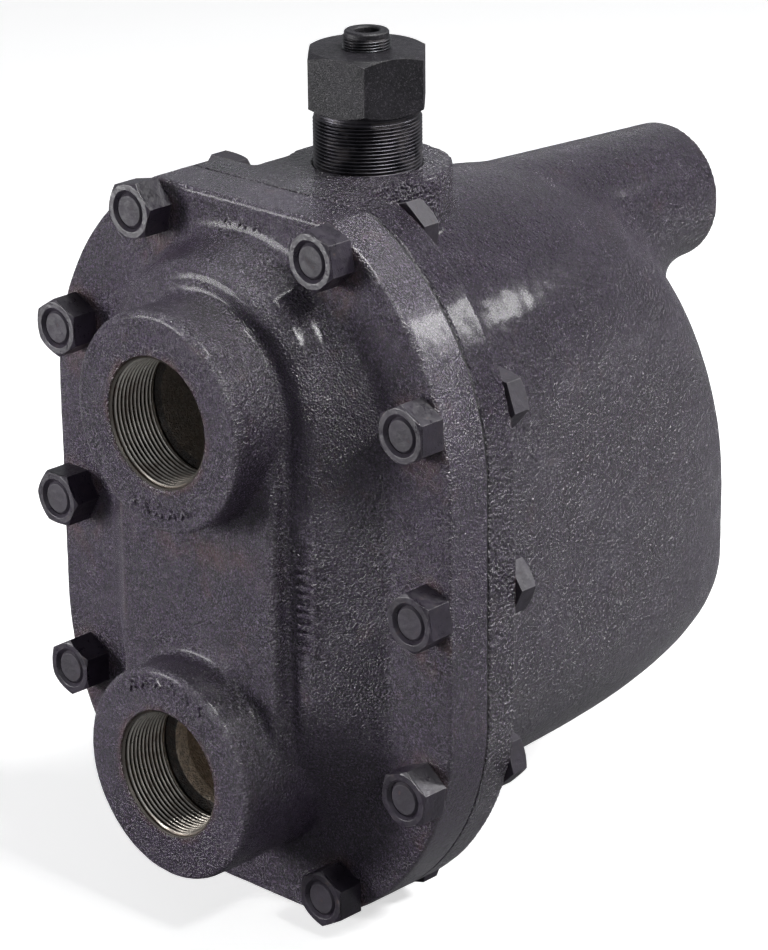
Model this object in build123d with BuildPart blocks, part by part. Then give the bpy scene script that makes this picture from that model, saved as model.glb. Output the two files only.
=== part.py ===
"""Float and thermostatic steam trap with a bolted cover and screwed ports.

Millimetres, +Z up. The origin is the centre of the inlet boss's front face. +Y points into
the trap, along the ports, and +X is to the right of someone who faces the cover.
"""

import math
import os

from build123d import *

# Ports on the cover
PORT_RADIUS = 29.4
PORT_MOUTH_CHAMFER = 0.5
PORT_THREAD_DEPTH = 27.0
PORT_DROP = 164.0
BOSS_RADIUS = 49.3
INLET_PASSAGE_RADIUS = 25.0
OUTLET_PASSAGE_RADIUS = 23.0
OUTLET_CHAMBER_RADIUS = 36.0

# Flanges, obround with a flat at the top and at the bottom
FLANGE_RADIUS = 120.5
FLANGE_TOP_ARC_Z = -21.0
FLANGE_BOTTOM_ARC_Z = -126.0
FLANGE_TOP_Z = 87.0
FLANGE_BOTTOM_Z = -238.8
COVER_FACE_Y = 52.7
COVER_BACK_Y = 76.2
GASKET_THICKNESS = 1.5
BODY_FACE_Y = COVER_BACK_Y + GASKET_THICKNESS
BODY_FLANGE_BACK_Y = 95.5

# Bolts, five on each side
BOLT_RADIUS = 7.9
BOLT_HOLE_RADIUS = 8.5
HEX_FLATS = 23.8
HEAD_HEIGHT = 9.9
NUT_HEIGHT = 13.9
BOLT_MIDDLE_Z = -73.5
BOLT_SPOTS = [
    (side * x, BOLT_MIDDLE_Z + z)
    for side in (-1, 1)
    for x, z in ((54.9, 147.5), (105.4, 82.9), (109.7, 0.0), (105.4, -82.9), (54.9, -147.5))
]
# Each nut stopped at its own angle when it was tightened
NUT_TURNS = [12, 33, 0, 30, 20, 40, 30, 41, 22, 30]
HEAD_TURNS = [5, 33, 18, 47, 27, 39, 10, 55, 14, 44]

# Cover front
DOME_FRONT_Y = 29.0
PAD_FRONT_Y = 20.0
PAD_HALF_WIDTH = 48.6
PAD_CORNER = 4.0
SHOULDER_RADIUS = 63.0
SHOULDER_FRONT_Y = 29.5
SHOULDER_ROOT_RADIUS = 70.0
SHOULDER_FOOT_RADIUS = 77.0
BOSS_EDGE_FILLET = 2.5
FLANGE_EDGE_FILLET = 1.6

# Cover inside
INNER_WALL_Y = 66.0
DUCT_BACK_Y = 58.0
DUCT_FRONT_Y = 38.0
DUCT_WALL_RADIUS = 60.0
BYPASS_OUTER_RADIUS = 52.0
BYPASS_INNER_RADIUS = 34.0
BYPASS_FRONT_Y = 34.0
BYPASS_WIDTH = 40.0
CHAMBER_FRONT_Y = 35.0
HOLLOW_MOUTH = (80.0, 58.0, -202.0)
HOLLOW_FLOOR = (54.0, 34.0, -174.0)
HOLLOW_BEND_Y = 62.0
HOLLOW_FLOOR_Y = 41.0
TAPPED_DEPTH = 6.2

# Bell of the body
BELL_HALF_WIDTH = 93.0
BELL_TOP_Z = 69.0
BELL_BOTTOM_Z = -214.5
BELL_DRAFT = 0.165
BELL_ROOT_Y = 105.0
BELL_CROWN_Y = 193.0
BELL_END_Y = 343.3
BELL_END_Z = -171.0
BELL_ROOT_FILLET = 23.0
BELL_WALL = 8.0

# Boss for the vacuum breaker and tube at the rear
TOP_BOSS_HALF_WIDTH = 33.0
TOP_BOSS_RADIUS = 37.5
TOP_BOSS_CENTRE_Y = 132.3
NECK_RADIUS = 23.0
TUBE_Z = 28.5
TUBE_ROOT_RADIUS = 39.8
TUBE_END_RADIUS = 32.8
TUBE_END_Y = 339.5
TUBE_FILLET = 18.0
POCKET_RADIUS = 16.0
PLUG_RADIUS = 24.0
PLUG_LENGTH = 20.0

# Vacuum breaker
BREAKER_HEX_FLATS = 50.2
BREAKER_HEX_TURN = 41.1
BREAKER_HEX_BOTTOM_Z = 112.0
BREAKER_HEX_TOP_Z = 138.3
BREAKER_TOP_Z = 146.3
BREAKER_BORE = 14.0
NIPPLE_RADIUS = 9.9
NIPPLE_HOLE_RADIUS = 5.6
BREAKER_BOTTOM_Z = 72.0
BREAKER_BORE_TOP_Z = 128.0
BUSH_BOTTOM_Z = 124.0
DISC_RADIUS = 11.0
DISC_HEIGHT = 4.0
GUIDE_RADIUS = 2.5
RETAINER_TOP_Z = 84.0
RETAINER_HEIGHT = 4.0
SPRING_RADIUS = 6.5
SPRING_WIRE_RADIUS = 0.6
SPRING_TURNS = 7

# Float mechanism
SEAT_FACE_Y = 71.0
ORIFICE_RADIUS = 7.5
STEM_RADIUS = 6.0
PIVOT_Y = 100.0
PIVOT_ABOVE_VALVE = 20.0
VALVE_Z = -PORT_DROP
PIVOT_Z = VALVE_Z + PIVOT_ABOVE_VALVE
PIVOT_PIN_RADIUS = 3.0
DRIVE_PIN_RADIUS = 2.5
FLOAT_RADIUS = 52.0
FLOAT_WALL = 1.2
FLOAT_Y = 236.0
FLOAT_Z = -133.0
STUD_RADIUS = 4.0
STUD_FRONT_Y = 166.0
TAB_FRONT_Y = 174.0
TAB_BACK_Y = 178.0

# Valve seat and bracket
SEAT_THREAD_RADIUS = 15.0
SEAT_FLATS = 36.0
SEAT_GASKET_THICKNESS = 0.8
BRACKET_SCREW_RADIUS = 2.95
BRACKET_SCREW_SPOTS = [(-33.0, VALVE_Z), (33.0, VALVE_Z)]
CHEEK_INNER_X = 22.0
CHEEK_THICKNESS = 4.0
BRACKET_END_Y = 125.0

# Raised marks of the casting: rows of chevrons, and a column of short bars
MARK_HEIGHT = 0.8
MARK_DEPTH = 1.5
CHEVRON_WIDTH = 4.6
CHEVRON_HEIGHT = 4.8
CHEVRON_STROKE = 1.7
INLET_MARKS = (5, 40.4, -90.0, 46.0)
OUTLET_MARKS = (6, 42.4, 90.0, 58.0)
TOP_MARK_SPOTS = [(-7.5, 77.0), (1.5, 77.0), (10.5, 77.0)]
BAR_WIDTH = 9.0
BAR_HEIGHT = 1.9
BAR_PITCH = 3.8
BAR_PAIR_SPOTS = [(57.4, 31.0, z) for z in (-62.0, -71.0, -80.0, -89.0, -99.0)]
BAR_TILT = 20.0

# Thermostatic air vent
VENT_Z = 42.0
VENT_SEAT_FACE_Y = 70.0
CAPSULE_RADIUS = 12.0
CAPSULE_FRONT_Y = 82.0
CAPSULE_BACK_Y = 94.0
VENT_TRAVEL = 2.5
VENT_THREAD_RADIUS = 6.5
VENT_ORIFICE_RADIUS = 2.5
VENT_BALL_RADIUS = 4.0
VENT_STEM_RADIUS = 2.0
VENT_SCREW_RADIUS = 1.95
VENT_SCREW_SPOTS = [(-21.0, VENT_Z), (21.0, VENT_Z)]

# Inlet baffle
BAFFLE_Y = 88.0
BAFFLE_HALF_WIDTH = 30.0
BAFFLE_SCREW_RADIUS = 2.45
BAFFLE_SCREW_SPOTS = [(-36.0, -6.0), (36.0, -6.0)]

FIT = 0.05


def facing_y(y, x=0.0, z=0.0):
    """Plane square to the ports at depth y: its normal is +Y and its own y runs up."""
    return Plane(origin=(x, y, z), x_dir=(-1, 0, 0), z_dir=(0, 1, 0))


def facing_x(x, y=0.0, z=0.0):
    """Plane square to the pivot: its own x is +Y and its own y runs up."""
    return Plane(origin=(x, y, z), x_dir=(0, 1, 0), z_dir=(1, 0, 0))


def facing_front(y, x=0.0, z=0.0, tilt=0.0):
    """Plane that faces out of the cover's front, turned about +Z by the tilt in degrees."""
    c, s = math.cos(math.radians(tilt)), math.sin(math.radians(tilt))
    return Plane(origin=(x, y, z), x_dir=(c, s, 0), z_dir=(s, -c, 0))


def obround(half_width, top, bottom):
    """Adds an upright obround to the open sketch."""
    with Locations((0, (top + bottom) / 2)):
        SlotCenterToCenter(top - bottom - 2 * half_width, 2 * half_width, rotation=90)


def flange_outline(inset=0.0):
    """Adds the flange's outline to the open sketch: an obround cut flat at both ends."""
    radius = FLANGE_RADIUS - inset
    top = FLANGE_TOP_Z - inset
    bottom = FLANGE_BOTTOM_Z + inset
    obround(radius, FLANGE_TOP_ARC_Z + radius, FLANGE_BOTTOM_ARC_Z - radius)
    with Locations((0, (top + bottom) / 2)):
        Rectangle(2 * radius, top - bottom, mode=Mode.INTERSECT)


def bell_section(y, inset=0.0):
    """Half width, top and bottom of the bell at depth y, or of a shell that far inside it."""
    end_y = BELL_END_Y - inset
    s = min(max((y - BELL_CROWN_Y) / (end_y - BELL_CROWN_Y), 0.0), 1.0)
    across = (1 - s**5.1) ** (1 / 5.1)
    upright = (1 - s**2.17) ** (1 / 2.17)
    half_width = (BELL_HALF_WIDTH - inset - BELL_DRAFT * (y - BELL_ROOT_Y)) * across
    top = BELL_END_Z + (BELL_TOP_Z - inset - BELL_END_Z) * upright
    bottom = BELL_END_Z + (BELL_BOTTOM_Z + inset - BELL_END_Z) * upright
    return half_width, top, bottom


def bell_stations(inset=0.0):
    """Depths of the sections round the crown, closer together towards the end."""
    end_y = BELL_END_Y - inset
    shares = (0.0, 0.22, 0.42, 0.6, 0.74, 0.84, 0.91, 0.95, 0.97)
    return [BELL_CROWN_Y + share * (end_y - BELL_CROWN_Y) for share in shares]


def nearest_corner(profile, x, y):
    """Corner of a flat profile that lies nearest to a point of it."""
    return profile.vertices().sort_by_distance((x, y, 0))[0]


def make_body():
    """Bell casting: flange, bell, boss for the breaker and the tube at the rear."""
    with BuildPart() as body:
        # Bell, with the flare where it meets the flange
        for step in range(6):
            angle = math.radians(90 * step / 6)
            y = BODY_FLANGE_BACK_Y + BELL_ROOT_FILLET * (1 - math.cos(angle))
            flare = BELL_ROOT_FILLET * (1 - math.sin(angle))
            half_width, top, bottom = bell_section(y)
            with BuildSketch(facing_y(y)):
                obround(half_width + flare, top + flare, bottom - flare)
        for y in [BODY_FLANGE_BACK_Y + BELL_ROOT_FILLET, 150.0] + bell_stations():
            with BuildSketch(facing_y(y)):
                obround(*bell_section(y))
        loft()
        fillet(body.faces().sort_by(Axis.Y)[-1].edges(), 4.0)

        # Tube at the rear, drafted towards its machined end
        with BuildSketch(facing_y(BELL_CROWN_Y, z=TUBE_Z)):
            Circle(TUBE_ROOT_RADIUS)
        with BuildSketch(facing_y(TUBE_END_Y, z=TUBE_Z)):
            Circle(TUBE_END_RADIUS)
        loft()
        seam = [
            edge
            for edge in body.edges()
            if edge.bounding_box().min.Y > BELL_CROWN_Y
            and edge.bounding_box().max.Y < TUBE_END_Y
            and edge.bounding_box().max.Z > TUBE_Z + TUBE_END_RADIUS
        ]
        fillet(seam, TUBE_FILLET)

        # Boss for the vacuum breaker, cut level with the flange's top flat
        with BuildSketch(Plane.XY.offset(BELL_TOP_Z - 25)):
            with Locations((0, TOP_BOSS_CENTRE_Y)):
                Circle(TOP_BOSS_RADIUS)
            with Locations((0, (BODY_FLANGE_BACK_Y + TOP_BOSS_CENTRE_Y) / 2)):
                Rectangle(2 * TOP_BOSS_HALF_WIDTH, TOP_BOSS_CENTRE_Y - BODY_FLANGE_BACK_Y)
        extrude(amount=FLANGE_TOP_Z - BELL_TOP_Z + 25)

        # Pockets that clear the bolt heads, and the level top
        with BuildSketch(facing_y(BODY_FLANGE_BACK_Y)):
            with Locations(*BOLT_SPOTS):
                Circle(POCKET_RADIUS)
        extrude(amount=BELL_ROOT_FILLET + 8, mode=Mode.SUBTRACT)
        with BuildSketch(Plane.XY.offset(FLANGE_TOP_Z)):
            Rectangle(4 * FLANGE_RADIUS, 4 * BELL_END_Y)
        extrude(amount=40, mode=Mode.SUBTRACT)

        # Flange
        with BuildSketch(facing_y(BODY_FACE_Y)):
            flange_outline()
        extrude(amount=BODY_FLANGE_BACK_Y - BODY_FACE_Y)
        with BuildSketch(facing_y(BODY_FACE_Y)):
            with Locations(*BOLT_SPOTS):
                Circle(BOLT_HOLE_RADIUS)
        extrude(amount=BODY_FLANGE_BACK_Y - BODY_FACE_Y, mode=Mode.SUBTRACT)

        # Float chamber
        for y in [BODY_FACE_Y, 110.0, 150.0] + bell_stations(BELL_WALL):
            with BuildSketch(facing_y(y)):
                obround(*bell_section(y, BELL_WALL))
        loft(mode=Mode.SUBTRACT)

        # Threaded hole for the breaker, threaded hole for the plug, and the passage behind it
        with BuildSketch(Plane.XY.offset(FLANGE_TOP_Z)):
            with Locations((0, TOP_BOSS_CENTRE_Y)):
                Circle(NECK_RADIUS + FIT)
        extrude(amount=-40, mode=Mode.SUBTRACT)
        with BuildSketch(facing_y(TUBE_END_Y, z=TUBE_Z)):
            Circle(PLUG_RADIUS + FIT)
        extrude(amount=-PLUG_LENGTH - 6, mode=Mode.SUBTRACT)
        with BuildSketch(facing_y(TUBE_END_Y - PLUG_LENGTH - 6, z=TUBE_Z)):
            Circle(PLUG_RADIUS - 3)
        extrude(amount=-60, mode=Mode.SUBTRACT)
        chamfer(body.faces().sort_by(Axis.Y)[-1].edges(), 0.8)
    return body


def make_broad_dome():
    """Broad dome under the pad, sloping down to the flange."""
    with BuildPart() as dome:
        with BuildSketch(facing_y(DOME_FRONT_Y)):
            obround(57.0, 40.0, -177.0)
        with BuildSketch(facing_y(COVER_FACE_Y)):
            obround(86.0, 71.0, -204.0)
        loft()
        fillet(dome.faces().sort_by(Axis.Y)[0].edges(), 14.0)
    return dome


def make_inlet_dome():
    """Round dome about the inlet, with its shoulder and its foot."""
    with BuildPart() as dome:
        with BuildSketch(Plane.XY) as profile:
            with BuildLine():
                Polyline(
                    (0, SHOULDER_FRONT_Y),
                    (SHOULDER_RADIUS, SHOULDER_FRONT_Y),
                    (SHOULDER_ROOT_RADIUS, COVER_FACE_Y - 1.7),
                    (SHOULDER_FOOT_RADIUS, COVER_FACE_Y + 0.8),
                    (SHOULDER_FOOT_RADIUS, COVER_FACE_Y + 7.3),
                    (0, COVER_FACE_Y + 7.3),
                    close=True,
                )
            make_face()
            fillet(nearest_corner(profile, SHOULDER_RADIUS, SHOULDER_FRONT_Y), 10.0)
            fillet(nearest_corner(profile, SHOULDER_ROOT_RADIUS, COVER_FACE_Y - 1.7), 2.5)
        revolve(axis=Axis.Y)
    return dome


def make_chevron():
    """Outline of one chevron that points up, about the middle of its height."""
    half = CHEVRON_HEIGHT / 2
    side = half - CHEVRON_STROKE
    with BuildSketch() as chevron:
        with BuildLine():
            Polyline(
                (-CHEVRON_WIDTH / 2, -half),
                (-CHEVRON_WIDTH / 2, -side),
                (0, half),
                (CHEVRON_WIDTH / 2, -side),
                (CHEVRON_WIDTH / 2, -half),
                (0, side),
                close=True,
            )
        make_face()
    return chevron


def arc_spots(count, radius, middle, spread):
    """Places along an arc, evenly spaced, with the direction of each from the arc's centre."""
    angles = [middle + spread * (k / (count - 1) - 0.5) for k in range(count)]
    return [
        (radius * math.cos(math.radians(a)), radius * math.sin(math.radians(a)), a)
        for a in angles
    ]


def make_marks():
    """Raised marks: chevrons into the inlet, out of the outlet and towards the top, and bars."""
    chevron = make_chevron()
    with BuildPart() as marks:
        with BuildSketch(facing_front(MARK_DEPTH)):
            for x, z, angle in arc_spots(*INLET_MARKS):
                with Locations(Location((x, z), angle + 90)):
                    add(chevron.sketch)
        with BuildSketch(facing_front(MARK_DEPTH, z=-PORT_DROP)):
            for x, z, angle in arc_spots(*OUTLET_MARKS):
                with Locations(Location((x, z), angle - 90)):
                    add(chevron.sketch)
        with BuildSketch(facing_front(COVER_FACE_Y + MARK_DEPTH)):
            with Locations(*TOP_MARK_SPOTS):
                add(chevron.sketch)
        for x, y, z in BAR_PAIR_SPOTS:
            with BuildSketch(facing_front(y + MARK_DEPTH, x, z, BAR_TILT)):
                with Locations((0, -BAR_PITCH / 2), (0, BAR_PITCH / 2)):
                    Rectangle(BAR_WIDTH, BAR_HEIGHT)
        extrude(amount=MARK_DEPTH + MARK_HEIGHT)
    return marks


def make_cover():
    """Cover casting: flange, dome, pad and bosses outside; ducts and valve pad inside."""
    broad_dome = make_broad_dome()
    inlet_dome = make_inlet_dome()
    marks = make_marks()
    port_spots = [(0, 0), (0, -PORT_DROP)]
    with BuildPart() as cover:
        # Flange
        with BuildSketch(facing_y(COVER_FACE_Y)):
            flange_outline()
        extrude(amount=COVER_BACK_Y - COVER_FACE_Y)
        fillet(cover.faces().sort_by(Axis.Y)[0].edges(), FLANGE_EDGE_FILLET)

        # Domes, pad between the bosses, and the bosses
        add(broad_dome.part)
        add(inlet_dome.part)
        with BuildSketch(Plane.XY.offset(-PORT_DROP)) as pad:
            with Locations((0, (PAD_FRONT_Y + COVER_FACE_Y) / 2)):
                Rectangle(2 * PAD_HALF_WIDTH, COVER_FACE_Y - PAD_FRONT_Y)
            fillet(pad.vertices().group_by(Axis.Y)[0], PAD_CORNER)
        extrude(amount=PORT_DROP)
        with BuildSketch(facing_y(0)):
            with Locations(*port_spots):
                Circle(BOSS_RADIUS)
        extrude(amount=COVER_FACE_Y)
        fillet(cover.edges().group_by(Axis.Y)[0], BOSS_EDGE_FILLET)
        add(marks.part)

        # Hollow behind the domes
        with BuildSketch(facing_y(COVER_BACK_Y)):
            obround(*HOLLOW_MOUTH)
        extrude(amount=HOLLOW_BEND_Y - COVER_BACK_Y, mode=Mode.SUBTRACT)
        with BuildSketch(facing_y(HOLLOW_BEND_Y)):
            obround(*HOLLOW_MOUTH)
        with BuildSketch(facing_y(HOLLOW_FLOOR_Y)):
            obround(*HOLLOW_FLOOR)
        loft(mode=Mode.SUBTRACT)

        # Walls of the inlet duct, of the bypass down to the outlet, and of the outlet chamber
        with BuildSketch(facing_y(DUCT_FRONT_Y)):
            Circle(DUCT_WALL_RADIUS)
            with Locations((0, -PORT_DROP / 2)):
                Rectangle(BYPASS_WIDTH + 16, PORT_DROP)
            with Locations((0, -PORT_DROP)):
                Circle(OUTLET_CHAMBER_RADIUS + 8)
        extrude(amount=INNER_WALL_Y - DUCT_FRONT_Y)

        # Bypass: a ring about the inlet duct, then down behind the pad
        with BuildSketch(facing_y(DUCT_BACK_Y)):
            Circle(BYPASS_OUTER_RADIUS)
            Circle(BYPASS_INNER_RADIUS, mode=Mode.SUBTRACT)
        extrude(amount=DUCT_FRONT_Y - DUCT_BACK_Y, mode=Mode.SUBTRACT)
        with BuildSketch(facing_y(DUCT_BACK_Y, z=-PORT_DROP / 2)):
            Rectangle(BYPASS_WIDTH, PORT_DROP - 80)
        extrude(amount=BYPASS_FRONT_Y - DUCT_BACK_Y, mode=Mode.SUBTRACT)

        # Ports, passages and outlet chamber
        with BuildSketch(facing_y(0)):
            with Locations(*port_spots):
                Circle(PORT_RADIUS)
        extrude(amount=PORT_THREAD_DEPTH, mode=Mode.SUBTRACT)
        mouths = [
            edge
            for edge in cover.edges().filter_by(GeomType.CIRCLE)
            if abs(edge.radius - PORT_RADIUS) < FIT and abs(edge.center().Y) < FIT
        ]
        chamfer(mouths, PORT_MOUTH_CHAMFER)
        with BuildSketch(facing_y(PORT_THREAD_DEPTH)):
            Circle(INLET_PASSAGE_RADIUS)
        extrude(amount=COVER_BACK_Y - PORT_THREAD_DEPTH, mode=Mode.SUBTRACT)
        with BuildSketch(facing_y(PORT_THREAD_DEPTH, z=-PORT_DROP)):
            Circle(OUTLET_PASSAGE_RADIUS)
        extrude(amount=DUCT_BACK_Y - PORT_THREAD_DEPTH, mode=Mode.SUBTRACT)
        with BuildSketch(facing_y(CHAMBER_FRONT_Y, z=-PORT_DROP)):
            Circle(OUTLET_CHAMBER_RADIUS)
        extrude(amount=DUCT_BACK_Y - CHAMBER_FRONT_Y, mode=Mode.SUBTRACT)

        # Seat holes and screw holes in the inner wall
        with BuildSketch(facing_y(INNER_WALL_Y)):
            with Locations((0, VALVE_Z)):
                Circle(SEAT_THREAD_RADIUS + FIT)
            with Locations((0, VENT_Z)):
                Circle(VENT_THREAD_RADIUS + FIT)
        extrude(amount=DUCT_BACK_Y - INNER_WALL_Y, mode=Mode.SUBTRACT)
        with BuildSketch(facing_y(INNER_WALL_Y)):
            with Locations(*BRACKET_SCREW_SPOTS):
                Circle(BRACKET_SCREW_RADIUS + FIT)
            with Locations(*VENT_SCREW_SPOTS):
                Circle(VENT_SCREW_RADIUS + FIT)
            with Locations(*BAFFLE_SCREW_SPOTS):
                Circle(BAFFLE_SCREW_RADIUS + FIT)
        extrude(amount=-TAPPED_DEPTH, mode=Mode.SUBTRACT)

        # Bolt holes
        with BuildSketch(facing_y(COVER_FACE_Y)):
            with Locations(*BOLT_SPOTS):
                Circle(BOLT_HOLE_RADIUS)
        extrude(amount=COVER_BACK_Y - COVER_FACE_Y, mode=Mode.SUBTRACT)
    return cover


def make_gasket():
    """Sheet gasket between the flanges."""
    with BuildPart() as gasket:
        with BuildSketch(facing_y(COVER_BACK_Y)):
            flange_outline(0.8)
            with Locations(*BOLT_SPOTS):
                Circle(BOLT_HOLE_RADIUS, mode=Mode.SUBTRACT)
        extrude(amount=GASKET_THICKNESS)
        with BuildSketch(facing_y(COVER_BACK_Y)):
            obround(87.0, 60.0, -205.0)
        extrude(amount=GASKET_THICKNESS, mode=Mode.SUBTRACT)
    return gasket


def turned_down(height, flats, both_ends=False):
    """Keeps of the open part only what a cone leaves at the hexagon's corners."""
    corner = flats / math.sqrt(3)
    rise = (corner - flats / 2) * math.tan(math.radians(30))
    with BuildSketch(Plane.XZ) as profile:
        with BuildLine():
            Polyline(
                (0, 0),
                (flats / 2 if both_ends else corner, 0),
                (corner, rise if both_ends else height / 2),
                (corner, height - rise),
                (flats / 2, height),
                (0, height),
                close=True,
            )
        make_face()
    revolve(profile.sketch, axis=Axis.Z, mode=Mode.INTERSECT)


def make_bolt():
    """One bolt along +Z: its head stands on the origin and its shank hangs below."""
    shank_length = BODY_FLANGE_BACK_Y - COVER_FACE_Y + NUT_HEIGHT - 0.6
    with BuildPart() as bolt:
        with BuildSketch():
            RegularPolygon(HEX_FLATS / 2, 6, major_radius=False)
        extrude(amount=HEAD_HEIGHT)
        turned_down(HEAD_HEIGHT, HEX_FLATS)
        with BuildSketch():
            Circle(BOLT_RADIUS)
        extrude(amount=-shank_length)
        chamfer(bolt.faces().sort_by(Axis.Z)[0].edges(), 1.2)
    return bolt


def make_nut():
    """One nut that stands on the origin, bevelled and countersunk at its free face."""
    with BuildPart() as nut:
        with BuildSketch():
            RegularPolygon(HEX_FLATS / 2, 6, major_radius=False)
        extrude(amount=NUT_HEIGHT)
        turned_down(NUT_HEIGHT, HEX_FLATS)
        with BuildSketch():
            Circle(BOLT_RADIUS + FIT)
        extrude(amount=NUT_HEIGHT, mode=Mode.SUBTRACT)
        hole_rim = nut.edges().filter_by(GeomType.CIRCLE).group_by(Axis.Z)[-1].sort_by(SortBy.RADIUS)[0]
        chamfer(hole_rim, 1.4)
    return nut


def make_bolts():
    """Ten bolts, heads behind the body's flange."""
    bolt = make_bolt()
    with BuildPart() as bolts:
        for (x, z), turn in zip(BOLT_SPOTS, HEAD_TURNS):
            with Locations(facing_y(BODY_FLANGE_BACK_Y, x, z)):
                add(bolt.part, rotation=(0, 0, turn))
    return bolts


def make_nuts():
    """Ten nuts on the front of the cover's flange."""
    nut = make_nut()
    with BuildPart() as nuts:
        for (x, z), turn in zip(BOLT_SPOTS, NUT_TURNS):
            with Locations(facing_front(COVER_FACE_Y, x, z)):
                add(nut.part, rotation=(0, 0, turn))
    return nuts


def make_screws(spots, wall_y, shank_radius, shank_length, head_radius, head_height):
    """Slotted round-head screws driven along -Y into a wall."""
    with BuildPart() as screws:
        with BuildSketch(facing_y(wall_y)):
            with Locations(*spots):
                Circle(head_radius)
        extrude(amount=head_height)
        fillet(screws.faces().group_by(Axis.Y)[-1].edges(), head_height * 0.4)
        with BuildSketch(facing_y(wall_y + head_height)):
            with Locations(*spots):
                Rectangle(2.2 * head_radius, head_radius * 0.3)
        extrude(amount=-head_height * 0.4, mode=Mode.SUBTRACT)
        with BuildSketch(facing_y(wall_y)):
            with Locations(*spots):
                Circle(shank_radius)
        extrude(amount=-shank_length)
    return screws


def make_rear_plug():
    """Flush pipe plug with a hexagon socket, at the end of the rear tube."""
    with BuildPart() as plug:
        with BuildSketch(facing_y(TUBE_END_Y - 0.8, z=TUBE_Z)):
            Circle(PLUG_RADIUS)
        extrude(amount=-PLUG_LENGTH)
        chamfer(plug.faces().sort_by(Axis.Y)[-1].edges(), 1.2)
        with BuildSketch(facing_y(TUBE_END_Y - 0.8, z=TUBE_Z)):
            RegularPolygon(9.5, 6, major_radius=False)
        extrude(amount=-12, mode=Mode.SUBTRACT)
    return plug


def at_breaker(z):
    """Level plane at height z on the breaker's axis."""
    return Plane(origin=(0, TOP_BOSS_CENTRE_Y, z))


def make_breaker_body():
    """Hexagonal body of the vacuum breaker, with its pipe thread below."""
    hex_height = BREAKER_HEX_TOP_Z - BREAKER_HEX_BOTTOM_Z
    with BuildPart() as hexagon:
        with BuildSketch():
            RegularPolygon(BREAKER_HEX_FLATS / 2, 6, major_radius=False)
        extrude(amount=hex_height)
        turned_down(hex_height, BREAKER_HEX_FLATS, both_ends=True)
    with BuildPart() as breaker:
        with Locations(at_breaker(BREAKER_HEX_BOTTOM_Z)):
            add(hexagon.part, rotation=(0, 0, BREAKER_HEX_TURN - 90))
        with BuildSketch(at_breaker(BREAKER_BOTTOM_Z)):
            Circle(NECK_RADIUS)
        extrude(amount=BREAKER_HEX_BOTTOM_Z - BREAKER_BOTTOM_Z)
        chamfer(breaker.faces().sort_by(Axis.Z)[0].edges(), 1.5)
        with BuildSketch(at_breaker(BREAKER_BOTTOM_Z)):
            Circle(BREAKER_BORE)
        extrude(amount=BREAKER_BORE_TOP_Z - BREAKER_BOTTOM_Z, mode=Mode.SUBTRACT)
        with BuildSketch(at_breaker(BREAKER_BORE_TOP_Z)):
            Circle(NIPPLE_RADIUS + FIT)
        extrude(amount=BREAKER_HEX_TOP_Z - BREAKER_BORE_TOP_Z, mode=Mode.SUBTRACT)
    return breaker


def make_breaker_bush():
    """Seat bush screwed through the hexagon: air nipple above, seat face below."""
    with BuildPart() as bush:
        with BuildSketch(at_breaker(BUSH_BOTTOM_Z)):
            Circle(NIPPLE_RADIUS)
            Circle(NIPPLE_HOLE_RADIUS, mode=Mode.SUBTRACT)
        extrude(amount=BREAKER_TOP_Z - BUSH_BOTTOM_Z)
        chamfer(bush.edges().group_by(Axis.Z)[-1], 0.7)
    return bush


def make_breaker_disc():
    """Disc that closes the breaker's seat from below, with its guide stem."""
    disc_top_z = BUSH_BOTTOM_Z - FIT
    with BuildPart() as disc:
        with BuildSketch(at_breaker(disc_top_z)):
            Circle(DISC_RADIUS)
        extrude(amount=-DISC_HEIGHT)
        fillet(disc.edges(), 0.5)
        with BuildSketch(at_breaker(disc_top_z - DISC_HEIGHT)):
            Circle(GUIDE_RADIUS)
        extrude(amount=RETAINER_TOP_Z - 3 - disc_top_z + DISC_HEIGHT)
    return disc


def make_breaker_retainer():
    """Ring at the breaker's mouth: guides the stem, carries the spring and lets air pass."""
    with BuildPart() as retainer:
        with BuildSketch(at_breaker(RETAINER_TOP_Z)):
            Circle(BREAKER_BORE - FIT)
            Circle(GUIDE_RADIUS + 0.08, mode=Mode.SUBTRACT)
            with PolarLocations(10.3, 6):
                Circle(2.2, mode=Mode.SUBTRACT)
        extrude(amount=-RETAINER_HEIGHT)
    return retainer


def make_breaker_spring():
    """Light spring between the retainer and the disc."""
    bottom_z = RETAINER_TOP_Z + SPRING_WIRE_RADIUS + FIT
    top_z = BUSH_BOTTOM_Z - DISC_HEIGHT - SPRING_WIRE_RADIUS - 2 * FIT
    height = top_z - bottom_z
    with BuildPart() as spring:
        with BuildLine(at_breaker(bottom_z)) as coil:
            Helix(pitch=height / SPRING_TURNS, height=height, radius=SPRING_RADIUS)
        with BuildSketch(Plane(origin=coil.line @ 0, z_dir=coil.line % 0)):
            Circle(SPRING_WIRE_RADIUS)
        sweep()
    return spring


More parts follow.
